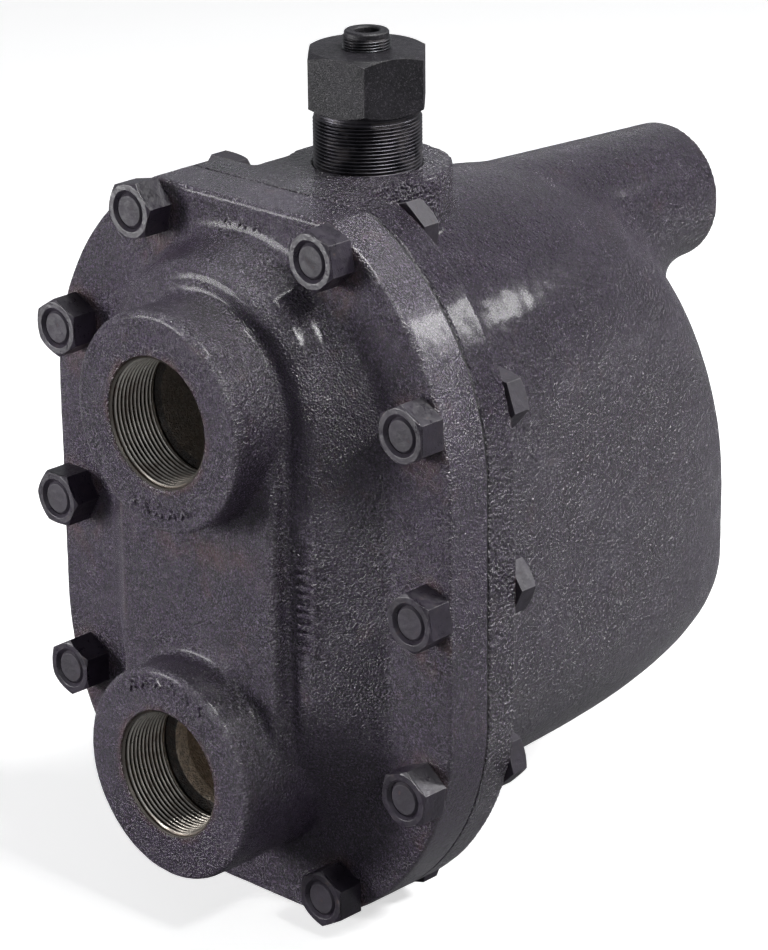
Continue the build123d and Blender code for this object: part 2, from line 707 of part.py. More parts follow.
def make_valve_seat():
    """Main seat: hexagon flange against the wall and a threaded shank through it."""
    with BuildPart() as seat:
        with BuildSketch(facing_y(INNER_WALL_Y + SEAT_GASKET_THICKNESS, z=VALVE_Z)):
            RegularPolygon(SEAT_FLATS / 2, 6, major_radius=False)
        extrude(amount=SEAT_FACE_Y - INNER_WALL_Y - SEAT_GASKET_THICKNESS)
        with BuildSketch(facing_y(DUCT_BACK_Y - 2, z=VALVE_Z)):
            Circle(SEAT_THREAD_RADIUS)
        extrude(amount=INNER_WALL_Y - DUCT_BACK_Y + 3)
        with BuildSketch(facing_y(DUCT_BACK_Y - 2, z=VALVE_Z)):
            Circle(ORIFICE_RADIUS)
        extrude(amount=SEAT_FACE_Y - DUCT_BACK_Y + 2, mode=Mode.SUBTRACT)
        chamfer(seat.edges().filter_by(GeomType.CIRCLE).group_by(Axis.Y)[0].sort_by(SortBy.RADIUS)[0], 3.0)
    return seat


def make_seat_gasket():
    """Soft copper ring under the seat's flange."""
    with BuildPart() as ring:
        with BuildSketch(facing_y(INNER_WALL_Y, z=VALVE_Z)):
            Circle(SEAT_FLATS / 2 - 0.5)
            Circle(SEAT_THREAD_RADIUS + 2 * FIT, mode=Mode.SUBTRACT)
        extrude(amount=SEAT_GASKET_THICKNESS)
    return ring


def make_bracket():
    """Valve bracket: foot, two cheeks for the pivot pin and a guide for the plunger."""
    cheek_x = CHEEK_INNER_X + CHEEK_THICKNESS / 2
    with BuildPart() as bracket:
        with BuildSketch(facing_y(INNER_WALL_Y, z=VALVE_Z)):
            Rectangle(80.0, 48.0)
            Circle(CHEEK_INNER_X - 0.4, mode=Mode.SUBTRACT)
        extrude(amount=4.0)
        fillet(bracket.edges().filter_by(Axis.Y).sort_by_distance((0, INNER_WALL_Y, VALVE_Z))[-4:], 6.0)
        with BuildSketch(facing_y(INNER_WALL_Y, z=(VALVE_Z + PIVOT_Z) / 2)):
            with Locations((-cheek_x, 0), (cheek_x, 0)):
                Rectangle(CHEEK_THICKNESS, PIVOT_ABOVE_VALVE + 20)
        extrude(amount=BRACKET_END_Y - INNER_WALL_Y)
        with BuildSketch(facing_y(BRACKET_END_Y, z=VALVE_Z)):
            Rectangle(2 * CHEEK_INNER_X + 1, 20.0)
            Circle(STEM_RADIUS + FIT, mode=Mode.SUBTRACT)
        extrude(amount=-4.0)
        with BuildSketch(facing_x(-cheek_x - CHEEK_THICKNESS, PIVOT_Y, PIVOT_Z)):
            Circle(PIVOT_PIN_RADIUS + FIT)
        extrude(amount=2 * (cheek_x + CHEEK_THICKNESS), mode=Mode.SUBTRACT)
        with BuildSketch(facing_y(INNER_WALL_Y)):
            with Locations(*BRACKET_SCREW_SPOTS):
                Circle(BRACKET_SCREW_RADIUS + 0.3)
        extrude(amount=4.0, mode=Mode.SUBTRACT)
    return bracket


def make_pivot_pin():
    """Pin the lever turns on."""
    half_length = CHEEK_INNER_X + CHEEK_THICKNESS + 3.0
    with BuildPart() as pin:
        with BuildSketch(facing_x(-half_length, PIVOT_Y, PIVOT_Z)):
            Circle(PIVOT_PIN_RADIUS)
        extrude(amount=2 * half_length)
        chamfer(pin.edges().filter_by(GeomType.CIRCLE), 0.5)
    return pin


def make_pivot_clips():
    """Retaining rings outside the cheeks."""
    outside_x = CHEEK_INNER_X + CHEEK_THICKNESS + 0.2
    with BuildPart() as clips:
        for x in (-outside_x - 1.2, outside_x):
            with BuildSketch(facing_x(x, PIVOT_Y, PIVOT_Z)):
                Circle(5.6)
                Circle(PIVOT_PIN_RADIUS + 0.02, mode=Mode.SUBTRACT)
            extrude(amount=1.2)
    return clips


def make_lever():
    """Lever: hub on the pivot pin, slotted fork down to the plunger, bar out to the float."""
    hub_half_length = CHEEK_INNER_X - 0.5
    slot_half_width = DRIVE_PIN_RADIUS + 0.6
    with BuildPart() as lever:
        with BuildSketch(facing_x(-hub_half_length, PIVOT_Y, PIVOT_Z)):
            Circle(6.5)
        extrude(amount=2 * hub_half_length)
        with BuildSketch(facing_y(PIVOT_Y, z=PIVOT_Z)):
            Rectangle(20.0, 6.0)
        extrude(amount=TAB_BACK_Y - PIVOT_Y)
        with BuildSketch(facing_y(TAB_FRONT_Y, z=FLOAT_Z - 1)):
            Rectangle(20.0, 24.0)
        extrude(amount=TAB_BACK_Y - TAB_FRONT_Y)
        with BuildSketch(facing_y(TAB_FRONT_Y, z=FLOAT_Z)):
            Circle(STUD_RADIUS + FIT)
        extrude(amount=TAB_BACK_Y - TAB_FRONT_Y, mode=Mode.SUBTRACT)
        for x in (-12.5, 8.5):
            with BuildSketch(facing_x(x, PIVOT_Y, (PIVOT_Z + VALVE_Z) / 2 - 5)):
                Rectangle(12.0, PIVOT_ABOVE_VALVE + 10)
            extrude(amount=4.0)
        with BuildSketch(facing_x(-hub_half_length, PIVOT_Y, VALVE_Z - 1.2)):
            SlotCenterToCenter(4.0, 2 * slot_half_width, rotation=90)
        extrude(amount=2 * hub_half_length, mode=Mode.SUBTRACT)
        with BuildSketch(facing_x(-hub_half_length, PIVOT_Y, PIVOT_Z)):
            Circle(PIVOT_PIN_RADIUS + FIT)
        extrude(amount=2 * hub_half_length, mode=Mode.SUBTRACT)
    return lever


def make_float():
    """Hollow float ball with its stud."""
    with BuildPart() as ball:
        with Locations((0, FLOAT_Y, FLOAT_Z)):
            Sphere(FLOAT_RADIUS)
        with BuildSketch(facing_y(TAB_BACK_Y + FIT, z=FLOAT_Z)):
            Circle(8.0)
        extrude(amount=12.0)
        with BuildSketch(facing_y(STUD_FRONT_Y, z=FLOAT_Z)):
            Circle(STUD_RADIUS)
        extrude(amount=TAB_BACK_Y - STUD_FRONT_Y + 1)
        with Locations((0, FLOAT_Y, FLOAT_Z)):
            Sphere(FLOAT_RADIUS - FLOAT_WALL, mode=Mode.SUBTRACT)
    return ball


def make_float_nut():
    """Nut that locks the float's stud to the lever."""
    with BuildPart() as nut:
        with BuildSketch(facing_y(TAB_FRONT_Y - FIT, z=FLOAT_Z)):
            RegularPolygon(6.5, 6, major_radius=False)
            Circle(STUD_RADIUS + FIT, mode=Mode.SUBTRACT)
        extrude(amount=-5.5)
    return nut


def make_plunger():
    """Main valve: a cone that closes on the seat, on a stem that runs through its guide."""
    with BuildPart() as plunger:
        with BuildSketch(Plane.XY.offset(VALVE_Z)):
            with BuildLine():
                Polyline(
                    (0, SEAT_FACE_Y - 2.4),
                    (ORIFICE_RADIUS - 2.5, SEAT_FACE_Y - 2.4),
                    (ORIFICE_RADIUS + 2.0, SEAT_FACE_Y + 2.1),
                    (ORIFICE_RADIUS + 2.0, SEAT_FACE_Y + 6.0),
                    (STEM_RADIUS, SEAT_FACE_Y + 9.0),
                    (STEM_RADIUS, BRACKET_END_Y + 5.0),
                    (0, BRACKET_END_Y + 5.0),
                    close=True,
                )
            make_face()
        revolve(axis=Axis((0, 0, VALVE_Z), (0, 1, 0)))
        with BuildSketch(facing_x(-STEM_RADIUS - 1, PIVOT_Y, VALVE_Z)):
            Circle(DRIVE_PIN_RADIUS + 0.01)
        extrude(amount=2 * STEM_RADIUS + 2, mode=Mode.SUBTRACT)
    return plunger


def make_drive_pin():
    """Cross pin through the plunger, in the slots of the lever's fork."""
    with BuildPart() as pin:
        with BuildSketch(facing_x(-14.0, PIVOT_Y, VALVE_Z)):
            Circle(DRIVE_PIN_RADIUS)
        extrude(amount=28.0)
    return pin


def make_vent_seat():
    """Seat of the air vent, screwed into the wall of the bypass."""
    with BuildPart() as seat:
        with BuildSketch(facing_y(INNER_WALL_Y, z=VENT_Z)):
            RegularPolygon(8.5, 6, major_radius=False)
        extrude(amount=VENT_SEAT_FACE_Y - INNER_WALL_Y)
        with BuildSketch(facing_y(DUCT_BACK_Y, z=VENT_Z)):
            Circle(VENT_THREAD_RADIUS)
        extrude(amount=INNER_WALL_Y - DUCT_BACK_Y)
        with BuildSketch(facing_y(DUCT_BACK_Y, z=VENT_Z)):
            Circle(VENT_ORIFICE_RADIUS)
        extrude(amount=VENT_SEAT_FACE_Y - DUCT_BACK_Y, mode=Mode.SUBTRACT)
    return seat


def make_vent_valve():
    """Ball-ended stem of the air vent, drawn open as it is when the trap is cold."""
    seated = VENT_SEAT_FACE_Y + math.sqrt(VENT_BALL_RADIUS**2 - VENT_ORIFICE_RADIUS**2)
    ball_y = seated + VENT_TRAVEL + FIT
    with BuildPart() as valve:
        with Locations((0, ball_y, VENT_Z)):
            Sphere(VENT_BALL_RADIUS)
        with BuildSketch(facing_y(ball_y, z=VENT_Z)):
            Circle(VENT_STEM_RADIUS)
        extrude(amount=CAPSULE_FRONT_Y + 4.0 - ball_y)
    return valve


def make_capsule():
    """Thermostatic capsule with ribbed faces and a stud at the back."""
    with BuildPart() as capsule:
        with BuildSketch(facing_y(CAPSULE_FRONT_Y, z=VENT_Z)):
            Circle(CAPSULE_RADIUS)
        extrude(amount=CAPSULE_BACK_Y - CAPSULE_FRONT_Y)
        fillet(capsule.edges().filter_by(GeomType.CIRCLE), 1.5)
        with BuildSketch(facing_y(CAPSULE_FRONT_Y, z=VENT_Z)):
            for radius in (5.0, 8.0):
                Circle(radius + 0.7)
                Circle(radius - 0.7, mode=Mode.SUBTRACT)
        extrude(amount=0.8, mode=Mode.SUBTRACT)
        with BuildSketch(facing_y(CAPSULE_FRONT_Y, z=VENT_Z)):
            Circle(VENT_STEM_RADIUS + 0.08)
        extrude(amount=5.0, mode=Mode.SUBTRACT)
        with BuildSketch(facing_y(CAPSULE_BACK_Y, z=VENT_Z)):
            Circle(VENT_STEM_RADIUS)
        extrude(amount=5.0)
    return capsule


def strap_outline(inner_half_width, back_y, thickness, foot_length):
    """Adds the plan of a strap to the open sketch: two feet, two legs and a back."""
    outer_half_width = inner_half_width + thickness
    height = back_y - INNER_WALL_Y
    with Locations((0, INNER_WALL_Y + height / 2)):
        Rectangle(2 * outer_half_width, height)
    with Locations((0, INNER_WALL_Y + thickness / 2)):
        Rectangle(2 * (outer_half_width + foot_length), thickness)
    with Locations((0, INNER_WALL_Y + (height - thickness) / 2)):
        Rectangle(2 * inner_half_width, height - thickness, mode=Mode.SUBTRACT)


def make_vent_frame():
    """Strap that holds the capsule over the vent seat."""
    with BuildPart() as frame:
        with BuildSketch(Plane.XY.offset(VENT_Z - 5)):
            strap_outline(CAPSULE_RADIUS + 1.5, CAPSULE_BACK_Y + 3.0, 2.0, 10.0)
        extrude(amount=10.0)
        with BuildSketch(facing_y(CAPSULE_BACK_Y, z=VENT_Z)):
            Circle(VENT_STEM_RADIUS + FIT)
        extrude(amount=5.0, mode=Mode.SUBTRACT)
        with BuildSketch(facing_y(INNER_WALL_Y)):
            with Locations(*VENT_SCREW_SPOTS):
                Circle(VENT_SCREW_RADIUS + 0.2)
        extrude(amount=2.0, mode=Mode.SUBTRACT)
    return frame


def make_baffle():
    """Plate that turns the inlet's jet aside from the float, on two feet."""
    with BuildPart() as baffle:
        with BuildSketch(Plane.XY.offset(-12.0)):
            strap_outline(BAFFLE_HALF_WIDTH - 2, BAFFLE_Y + 2.0, 2.0, 12.0)
        extrude(amount=12.0)
        with BuildSketch(facing_y(BAFFLE_Y, z=-5.0)):
            Rectangle(2 * BAFFLE_HALF_WIDTH, 50.0)
        extrude(amount=2.0)
        fillet(baffle.edges().filter_by(Axis.Y).group_by(Axis.Z)[0], 6.0)
        fillet(baffle.edges().filter_by(Axis.Y).group_by(Axis.Z)[-1], 6.0)
        with BuildSketch(facing_y(INNER_WALL_Y)):
            with Locations(*BAFFLE_SCREW_SPOTS):
                Circle(BAFFLE_SCREW_RADIUS + 0.2)
        extrude(amount=2.0, mode=Mode.SUBTRACT)
    return baffle


def finish(piece, name):
    """Labels a piece and writes it out."""
    piece.part.label = name
    export_step(piece.part, f"parts/{name}.step")


def main():
    os.makedirs("parts", exist_ok=True)
    finish(make_body(), "body_casting")
    finish(make_cover(), "cover_casting")
    finish(make_gasket(), "cover_gasket")
    finish(make_bolts(), "cover_bolts")
    finish(make_nuts(), "cover_nuts")
    finish(make_rear_plug(), "rear_port_plug")

    finish(make_breaker_body(), "breaker_body")
    finish(make_breaker_bush(), "breaker_seat_bush")
    finish(make_breaker_disc(), "breaker_disc")
    finish(make_breaker_spring(), "breaker_spring")
    finish(make_breaker_retainer(), "breaker_retainer")

    finish(make_valve_seat(), "main_valve_seat")
    finish(make_seat_gasket(), "seat_gasket")
    finish(make_bracket(), "valve_bracket")
    bracket_screws = make_screws(
        BRACKET_SCREW_SPOTS, INNER_WALL_Y + 4.0, BRACKET_SCREW_RADIUS, 10.0, 5.0, 3.5
    )
    finish(bracket_screws, "bracket_screws")
    finish(make_pivot_pin(), "lever_pivot_pin")
    finish(make_pivot_clips(), "pivot_clips")
    finish(make_lever(), "float_lever")
    finish(make_float(), "float_ball")
    finish(make_float_nut(), "float_nut")
    finish(make_plunger(), "valve_plunger")
    finish(make_drive_pin(), "drive_pin")

    finish(make_vent_seat(), "air_vent_seat")
    finish(make_vent_frame(), "air_vent_frame")
    vent_screws = make_screws(
        VENT_SCREW_SPOTS, INNER_WALL_Y + 2.0, VENT_SCREW_RADIUS, 8.0, 3.4, 2.4
    )
    finish(vent_screws, "air_vent_screws")
    finish(make_capsule(), "air_vent_capsule")
    finish(make_vent_valve(), "air_vent_valve")
    finish(make_baffle(), "inlet_baffle")
    baffle_screws = make_screws(
        BAFFLE_SCREW_SPOTS, INNER_WALL_Y + 2.0, BAFFLE_SCREW_RADIUS, 8.0, 4.4, 3.0
    )
    finish(baffle_screws, "baffle_screws")


if __name__ == "__main__":
    main()
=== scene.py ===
"""Looks of the steam trap, in metres and in the frame of its CAD model.

+Y runs into the trap along the ports, +X is to the right of someone who faces the cover, and
+Z is up. The two castings are rebuilt as castings: cast shape first, machined cuts after.
"""

import math

import bmesh
import bpy
import numpy as np
from mathutils import Matrix, Vector


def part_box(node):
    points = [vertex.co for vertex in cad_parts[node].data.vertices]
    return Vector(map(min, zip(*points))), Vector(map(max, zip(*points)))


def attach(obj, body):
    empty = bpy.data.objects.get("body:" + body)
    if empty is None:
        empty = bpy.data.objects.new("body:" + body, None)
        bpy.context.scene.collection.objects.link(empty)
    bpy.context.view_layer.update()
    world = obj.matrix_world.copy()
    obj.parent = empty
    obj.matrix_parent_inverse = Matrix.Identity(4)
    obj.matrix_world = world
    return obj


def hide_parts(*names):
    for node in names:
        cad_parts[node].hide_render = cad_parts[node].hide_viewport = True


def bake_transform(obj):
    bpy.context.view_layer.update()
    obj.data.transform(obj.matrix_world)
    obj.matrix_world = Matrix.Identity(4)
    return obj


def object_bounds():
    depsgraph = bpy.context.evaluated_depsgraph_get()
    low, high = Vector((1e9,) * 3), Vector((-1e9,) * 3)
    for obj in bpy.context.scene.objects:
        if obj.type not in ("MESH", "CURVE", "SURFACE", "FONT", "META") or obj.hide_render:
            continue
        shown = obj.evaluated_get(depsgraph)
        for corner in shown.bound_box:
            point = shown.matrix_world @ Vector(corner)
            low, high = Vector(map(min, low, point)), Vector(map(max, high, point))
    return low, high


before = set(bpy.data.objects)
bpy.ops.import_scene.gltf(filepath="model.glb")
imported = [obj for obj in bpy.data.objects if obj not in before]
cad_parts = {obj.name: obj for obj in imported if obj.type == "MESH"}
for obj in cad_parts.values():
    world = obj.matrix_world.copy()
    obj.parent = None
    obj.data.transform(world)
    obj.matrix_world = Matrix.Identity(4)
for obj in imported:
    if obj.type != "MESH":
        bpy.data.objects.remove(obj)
cad_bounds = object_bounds()

MM = 0.001

# Camera, as an orbit round a point near the cover
VIEW_AZIMUTH = 43.45
VIEW_ELEVATION = 20.761
VIEW_ROLL = -0.567
VIEW_DISTANCE = 1.527794
VIEW_TARGET = Vector((0.133173, 0.0, 0.010435))
VIEW_LENS = 144.54

# Where the softboxes point
TRAP_MIDDLE = Vector((0.0, 0.13, -0.06))

# Sizes that the castings share with the CAD model, in millimetres
PORT_DROP = 164.0
PORT_RADIUS = 29.4
PORT_DEPTH = 27.0
COVER_FACE_Y = 52.7
COVER_BACK_Y = 76.2
FLANGE_RADIUS = 120.5
FLANGE_ARCS_Z = (-21.0, -126.0)
FLANGE_BOTTOM_Z = -238.8
BODY_FACE_Y = 77.7
BREAKER_Y = 132.3
BOSS_TOP_Z = 87.0
TUBE_Z = 28.5
TUBE_END_Y = 339.5
PLUG_RADIUS = 24.0
PIPE_PITCH = 2.209
NECK_PITCH = 1.6

BOLTS_MIDDLE_Z = -73.5
BOLT_SPOTS = [
    (x, BOLTS_MIDDLE_Z + z)
    for x, z in (
        (54.9, 147.5), (105.4, 82.9), (109.7, 0.0), (105.4, -82.9), (54.9, -147.5),
        (-54.9, 147.5), (-105.4, 82.9), (-109.7, 0.0), (-105.4, -82.9), (-54.9, -147.5),
    )
]

# Raised marks: outlines, and count, radius, middle angle, spread, pointing and height of each arc
MARK_HEIGHT = 0.8
CHEVRON = [(-2.3, -2.4), (-2.3, -0.7), (0.0, 2.4), (2.3, -0.7), (2.3, -2.4), (0.0, 0.7)]
BAR = [(-4.5, -0.95), (-4.5, 0.95), (4.5, 0.95), (4.5, -0.95)]
INLET_MARKS = (5, 40.4, -90.0, 46.0, 90.0, 0.0)
OUTLET_MARKS = (6, 42.4, 90.0, 58.0, -90.0, -PORT_DROP)
TOP_MARK_SPOTS = [(-7.5, 77.0), (1.5, 77.0), (10.5, 77.0)]
BAR_SPOTS = [(57.4, 31.0, z) for z in (-62.0, -71.0, -80.0, -89.0, -99.0)]
BAR_PITCH = 3.8
BAR_TILT = 20.0

# How far an outside corner gives way when the castings are smoothed, against an inside one: the
# first step takes off the voxels' stairs
FIRST_GIVE = 0.9
CONVEX_GIVE = 0.04

# How far the castings stay inside their CAD boxes, in metres
BOX_GAP = 0.00004

# How far the machined faces stand out until they are cut, in millimetres
MACHINING_STOCK = 3.0


# ---------------------------------------------------------------- camera, light and floor

def view_axes():
    """Camera's right, up and backward directions."""
    az = math.radians(VIEW_AZIMUTH)
    el = math.radians(VIEW_ELEVATION)
    roll = math.radians(VIEW_ROLL)
    right = Vector((math.cos(az), math.sin(az), 0.0))
    back = Vector((math.sin(az) * math.cos(el), -math.cos(az) * math.cos(el), math.sin(el)))
    up = back.cross(right)
    c, s = math.cos(roll), math.sin(roll)
    return c * right + s * up, -s * right + c * up, back


def make_camera():
    right, up, back = view_axes()
    data = bpy.data.cameras.new("camera")
    data.lens = VIEW_LENS
    data.sensor_width = 36.0
    data.clip_start = 0.05
    data.clip_end = 30.0
    camera = bpy.data.objects.new("camera", data)
    turn = Matrix((right, up, back)).transposed().to_4x4()
    camera.matrix_world = Matrix.Translation(VIEW_TARGET + back * VIEW_DISTANCE) @ turn
    bpy.context.scene.collection.objects.link(camera)
    bpy.context.scene.camera = camera


def soft_light(name, direction, distance, size, power, glint=False):
    """Softbox that faces the trap's middle from a direction in the trap's own frame.

    A glint shows in reflections only.
    """
    offset = Vector(direction).normalized() * distance
    data = bpy.data.lights.new(name, "AREA")
    data.shape = "RECTANGLE"
    data.size, data.size_y = size
    data.energy = power
    lamp = bpy.data.objects.new(name, data)
    lamp.location = TRAP_MIDDLE + offset
    lamp.visible_diffuse = not glint
    lamp.rotation_mode = "QUATERNION"
    lamp.rotation_quaternion = (-offset).to_track_quat("-Z", "Y")
    bpy.context.scene.collection.objects.link(lamp)


def node(tree, kind, inputs=None, **settings):
    """New node in a tree. Inputs are given by name or index, as a value or as a socket to link."""
    made = tree.nodes.new(kind)
    for key, value in settings.items():
        setattr(made, key, value)
    for key, value in (inputs or {}).items():
        if isinstance(value, bpy.types.NodeSocket):
            tree.links.new(value, made.inputs[key])
        else:
            made.inputs[key].default_value = value
    return made


def make_world():
    """White behind the trap, and a dimmer room in its reflections."""
    world = bpy.data.worlds.new("studio")
    world.use_nodes = True
    tree = world.node_tree
    tree.nodes.clear()
    path = node(tree, "ShaderNodeLightPath")
    shine = node(tree, "ShaderNodeMath", {0: path.outputs["Is Glossy Ray"], 1: 0.30, 2: 0.12}, operation="MULTIPLY_ADD")
    room = node(tree, "ShaderNodeBackground", {0: (0.93, 0.95, 1.0, 1.0), 1: shine.outputs[0]})
    white = node(tree, "ShaderNodeBackground", {0: (1.0, 1.0, 1.0, 1.0), 1: 1.0})
    mix = node(tree, "ShaderNodeMixShader", {0: path.outputs["Is Camera Ray"]})
    tree.links.new(room.outputs[0], mix.inputs[1])
    tree.links.new(white.outputs[0], mix.inputs[2])
    out = node(tree, "ShaderNodeOutputWorld")
    tree.links.new(mix.outputs[0], out.inputs[0])
    bpy.context.scene.world = world


def make_floor():
    """Plain pale floor just under the trap."""
    lowest = cad_bounds[0].z - 0.0005
    mesh = bpy.data.meshes.new("floor")
    half = 6.0
    corners = [(-half, -half, lowest), (half, -half, lowest), (half, half, lowest), (-half, half, lowest)]
    mesh.from_pydata(corners, [], [(0, 1, 2, 3)])
    floor = bpy.data.objects.new("floor", mesh)
    bpy.context.scene.collection.objects.link(floor)
    material = bpy.data.materials.new("floor_paper")
    material.use_nodes = True
    tree = material.node_tree
    tree.nodes.clear()
    path = node(tree, "ShaderNodeLightPath")
    seen = node(tree, "ShaderNodeBsdfDiffuse", {0: (0.9, 0.9, 0.9, 1.0)})
    glow = node(tree, "ShaderNodeEmission", {0: (1.0, 1.0, 1.0, 1.0), 1: 0.62})
    lit = node(tree, "ShaderNodeAddShader", {0: seen.outputs[0], 1: glow.outputs[0]})
    dim = node(tree, "ShaderNodeBsdfDiffuse", {0: (0.30, 0.30, 0.31, 1.0)})
    mix = node(tree, "ShaderNodeMixShader", {0: path.outputs["Is Camera Ray"]})
    tree.links.new(dim.outputs[0], mix.inputs[1])
    tree.links.new(lit.outputs[0], mix.inputs[2])
    out = node(tree, "ShaderNodeOutputMaterial")
    tree.links.new(mix.outputs[0], out.inputs[0])
    mesh.materials.append(material)


# ---------------------------------------------------------------- materials

class Shader:
    """A material under construction: short calls for the nodes that all the materials share."""

    def __init__(self, name):
        self.material = bpy.data.materials.new(name)
        self.material.use_nodes = True
        self.tree = self.material.node_tree
        self.tree.nodes.clear()
        self.place = self.add("ShaderNodeTexCoord").outputs["Object"]

    def add(self, kind, inputs=None, **settings):
        return node(self.tree, kind, inputs, **settings)

    def noise(self, scale, detail=3.0, roughness=0.55, distortion=0.0, vector=None):
        inputs = {
            "Vector": vector or self.place,
            "Scale": scale,
            "Detail": detail,
            "Roughness": roughness,
            "Distortion": distortion,
        }
        return self.add("ShaderNodeTexNoise", inputs).outputs["Fac"]

    def cells(self, scale, smoothness=0.6, vector=None):
        inputs = {"Vector": vector or self.place, "Scale": scale, "Smoothness": smoothness}
        return self.add("ShaderNodeTexVoronoi", inputs, feature="SMOOTH_F1").outputs["Distance"]

    def stretched(self, factors):
        """Place with each axis scaled, for grain that runs one way."""
        return self.add("ShaderNodeVectorMath", {0: self.place, 1: factors}, operation="MULTIPLY").outputs[0]

    def ramp(self, value, low, high, to_low=0.0, to_high=1.0):
        inputs = {"Value": value, 1: low, 2: high, 3: to_low, 4: to_high}
        made = self.add("ShaderNodeMapRange", inputs, interpolation_type="SMOOTHSTEP")
        return made.outputs["Result"]

    def math(self, operation, a, b):
        return self.add("ShaderNodeMath", {0: a, 1: b}, operation=operation).outputs[0]

    def mix(self, factor, a, b):
        """Mixed colour."""
        made = self.add("ShaderNodeMix", data_type="RGBA")
        for key, value in ((0, factor), (6, a), (7, b)):
            if isinstance(value, bpy.types.NodeSocket):
                self.tree.links.new(value, made.inputs[key])
            elif key == 0:
                made.inputs[key].default_value = value
            else:
                made.inputs[key].default_value = (*value, 1.0)
        return made.outputs[2]

    def blend(self, factor, a, b):
        """Mixed number."""
        return self.add("ShaderNodeMix", {0: factor, 2: a, 3: b}, data_type="FLOAT").outputs[0]

    def attribute(self, name):
        return self.add("ShaderNodeAttribute", attribute_name=name).outputs["Fac"]

    def edges(self, radius):
        """From 0 on the flats to 1 on the edges, by how far a rounded normal leans."""
        round_normal = self.add("ShaderNodeBevel", {"Radius": radius}, samples=4).outputs[0]
        flat_normal = self.add("ShaderNodeNewGeometry").outputs["Normal"]
        lean = self.add("ShaderNodeVectorMath", {0: round_normal, 1: flat_normal}, operation="DOT_PRODUCT")
        return self.ramp(lean.outputs["Value"], 0.985, 0.90, 0.0, 1.0)

    def bump(self, height, strength, distance):
        inputs = {"Height": height, "Strength": strength, "Distance": distance}
        return self.add("ShaderNodeBump", inputs).outputs[0]

    def finish(self, colour, roughness, normal, metallic=0.0, **more):
        inputs = {
            "Base Color": colour,
            "Roughness": roughness,
            "Normal": normal,
            "Metallic": metallic,
        }
        inputs.update({key.replace("_", " "): value for key, value in more.items()})
        surface = self.add("ShaderNodeBsdfPrincipled", inputs)
        self.add("ShaderNodeOutputMaterial", {"Surface": surface.outputs[0]})
        return self.material


def cast_enamel(name, scale, grain, seed):
    """Dark enamel on a rough casting.

    The bare attribute shows iron where nothing was painted, edge where paint has worn and where the
    edges are painted lighter as a highlight, rust where it is tinted, and polish where the metal is
    machined bright and painted brighter than the shade it lies in.
    """
    s = Shader(name)
    shifted = s.add("ShaderNodeVectorMath", {0: s.place, 1: (seed, seed * 0.37, -seed)}, operation="ADD").outputs[0]
    cloud = s.noise(26.0, 4.0, 0.6, vector=shifted)
    blotch = s.noise(75.0, 5.0, 0.62, 0.4, vector=shifted)
    fine = s.noise(1500.0, 3.0, 0.6, vector=shifted)
    grit = s.noise(620.0, 4.0, 0.62, vector=shifted)
    leather = s.cells(scale, 0.6, vector=shifted)
    swell = s.noise(230.0, 2.0, 0.5, vector=shifted)

    enamel = s.mix(s.ramp(cloud, 0.35, 0.68), (0.0225, 0.0140, 0.0290), (0.0365, 0.0240, 0.0470))
    enamel = s.mix(s.ramp(blotch, 0.58, 0.74, 0.0, 0.6), enamel, (0.066, 0.034, 0.042))
    speck = s.noise(1050.0, 2.0, 0.75, vector=shifted)
    enamel = s.mix(s.ramp(speck, 0.52, 0.66, 0.0, 0.9), enamel, (0.100, 0.074, 0.124))
    enamel = s.mix(s.ramp(speck, 0.48, 0.34, 0.0, 0.95), enamel, (0.004, 0.003, 0.006))
    pits = s.ramp(grit, 0.33, 0.24, 0.0, 0.9)
    enamel = s.mix(pits, enamel, (0.004, 0.003, 0.005))
    # Convex edges painted lighter: partly worn paint, partly a painted edge highlight.
    wear = s.ramp(s.noise(420.0, 4.0, 0.7, vector=shifted), 0.45, 0.62)
    worn_and_lit_edge = s.math("MULTIPLY", s.attribute("edge"), wear)
    enamel = s.mix(s.math("MULTIPLY", worn_and_lit_edge, 0.22), enamel, (0.13, 0.115, 0.135))

    patch = s.ramp(s.noise(160.0, 5.0, 0.65, vector=shifted), 0.38, 0.66)
    iron = s.mix(patch, (0.040, 0.034, 0.030), (0.080, 0.055, 0.040))
    iron = s.mix(s.ramp(grit, 0.45, 0.65), iron, (0.085, 0.080, 0.074))
    bare = s.attribute("bare")
    colour = s.mix(bare, enamel, iron)
    rust = s.math("MULTIPLY", s.attribute("rust"), s.ramp(blotch, 0.38, 0.60))
    colour = s.mix(s.math("MULTIPLY", rust, 0.42), colour, (0.105, 0.048, 0.040))

    # Machined metal in the bores, coloured far brighter than its shade: partly real polish, partly painted light.
    polish_and_painted_light = s.attribute("polish_and_painted_light")
    colour = s.mix(s.math("MULTIPLY", polish_and_painted_light, s.ramp(grit, 0.35, 0.6, 0.6, 1.0)), colour, (0.78, 0.68, 0.57))
    sheen = s.ramp(s.math("ADD", cloud, s.math("MULTIPLY", fine, 0.6)), 0.60, 1.05, 0.15, 0.29)
    roughness = s.blend(bare, sheen, 0.45)

    height = s.math("ADD", s.math("MULTIPLY", leather, grain), s.math("MULTIPLY", grit, grain))
    height = s.math("ADD", height, s.math("MULTIPLY", swell, grain))
    height = s.math("ADD", height, s.math("MULTIPLY", fine, 0.16))
    height = s.math("SUBTRACT", height, s.math("MULTIPLY", pits, 0.2))
    normal = s.bump(height, 1.0, 0.0030)
    metallic = s.math("MULTIPLY", polish_and_painted_light, 0.55)
    return s.finish(colour, roughness, normal, metallic, Specular_IOR_Level=0.6, Coat_Weight=0.12, Coat_Roughness=0.14)


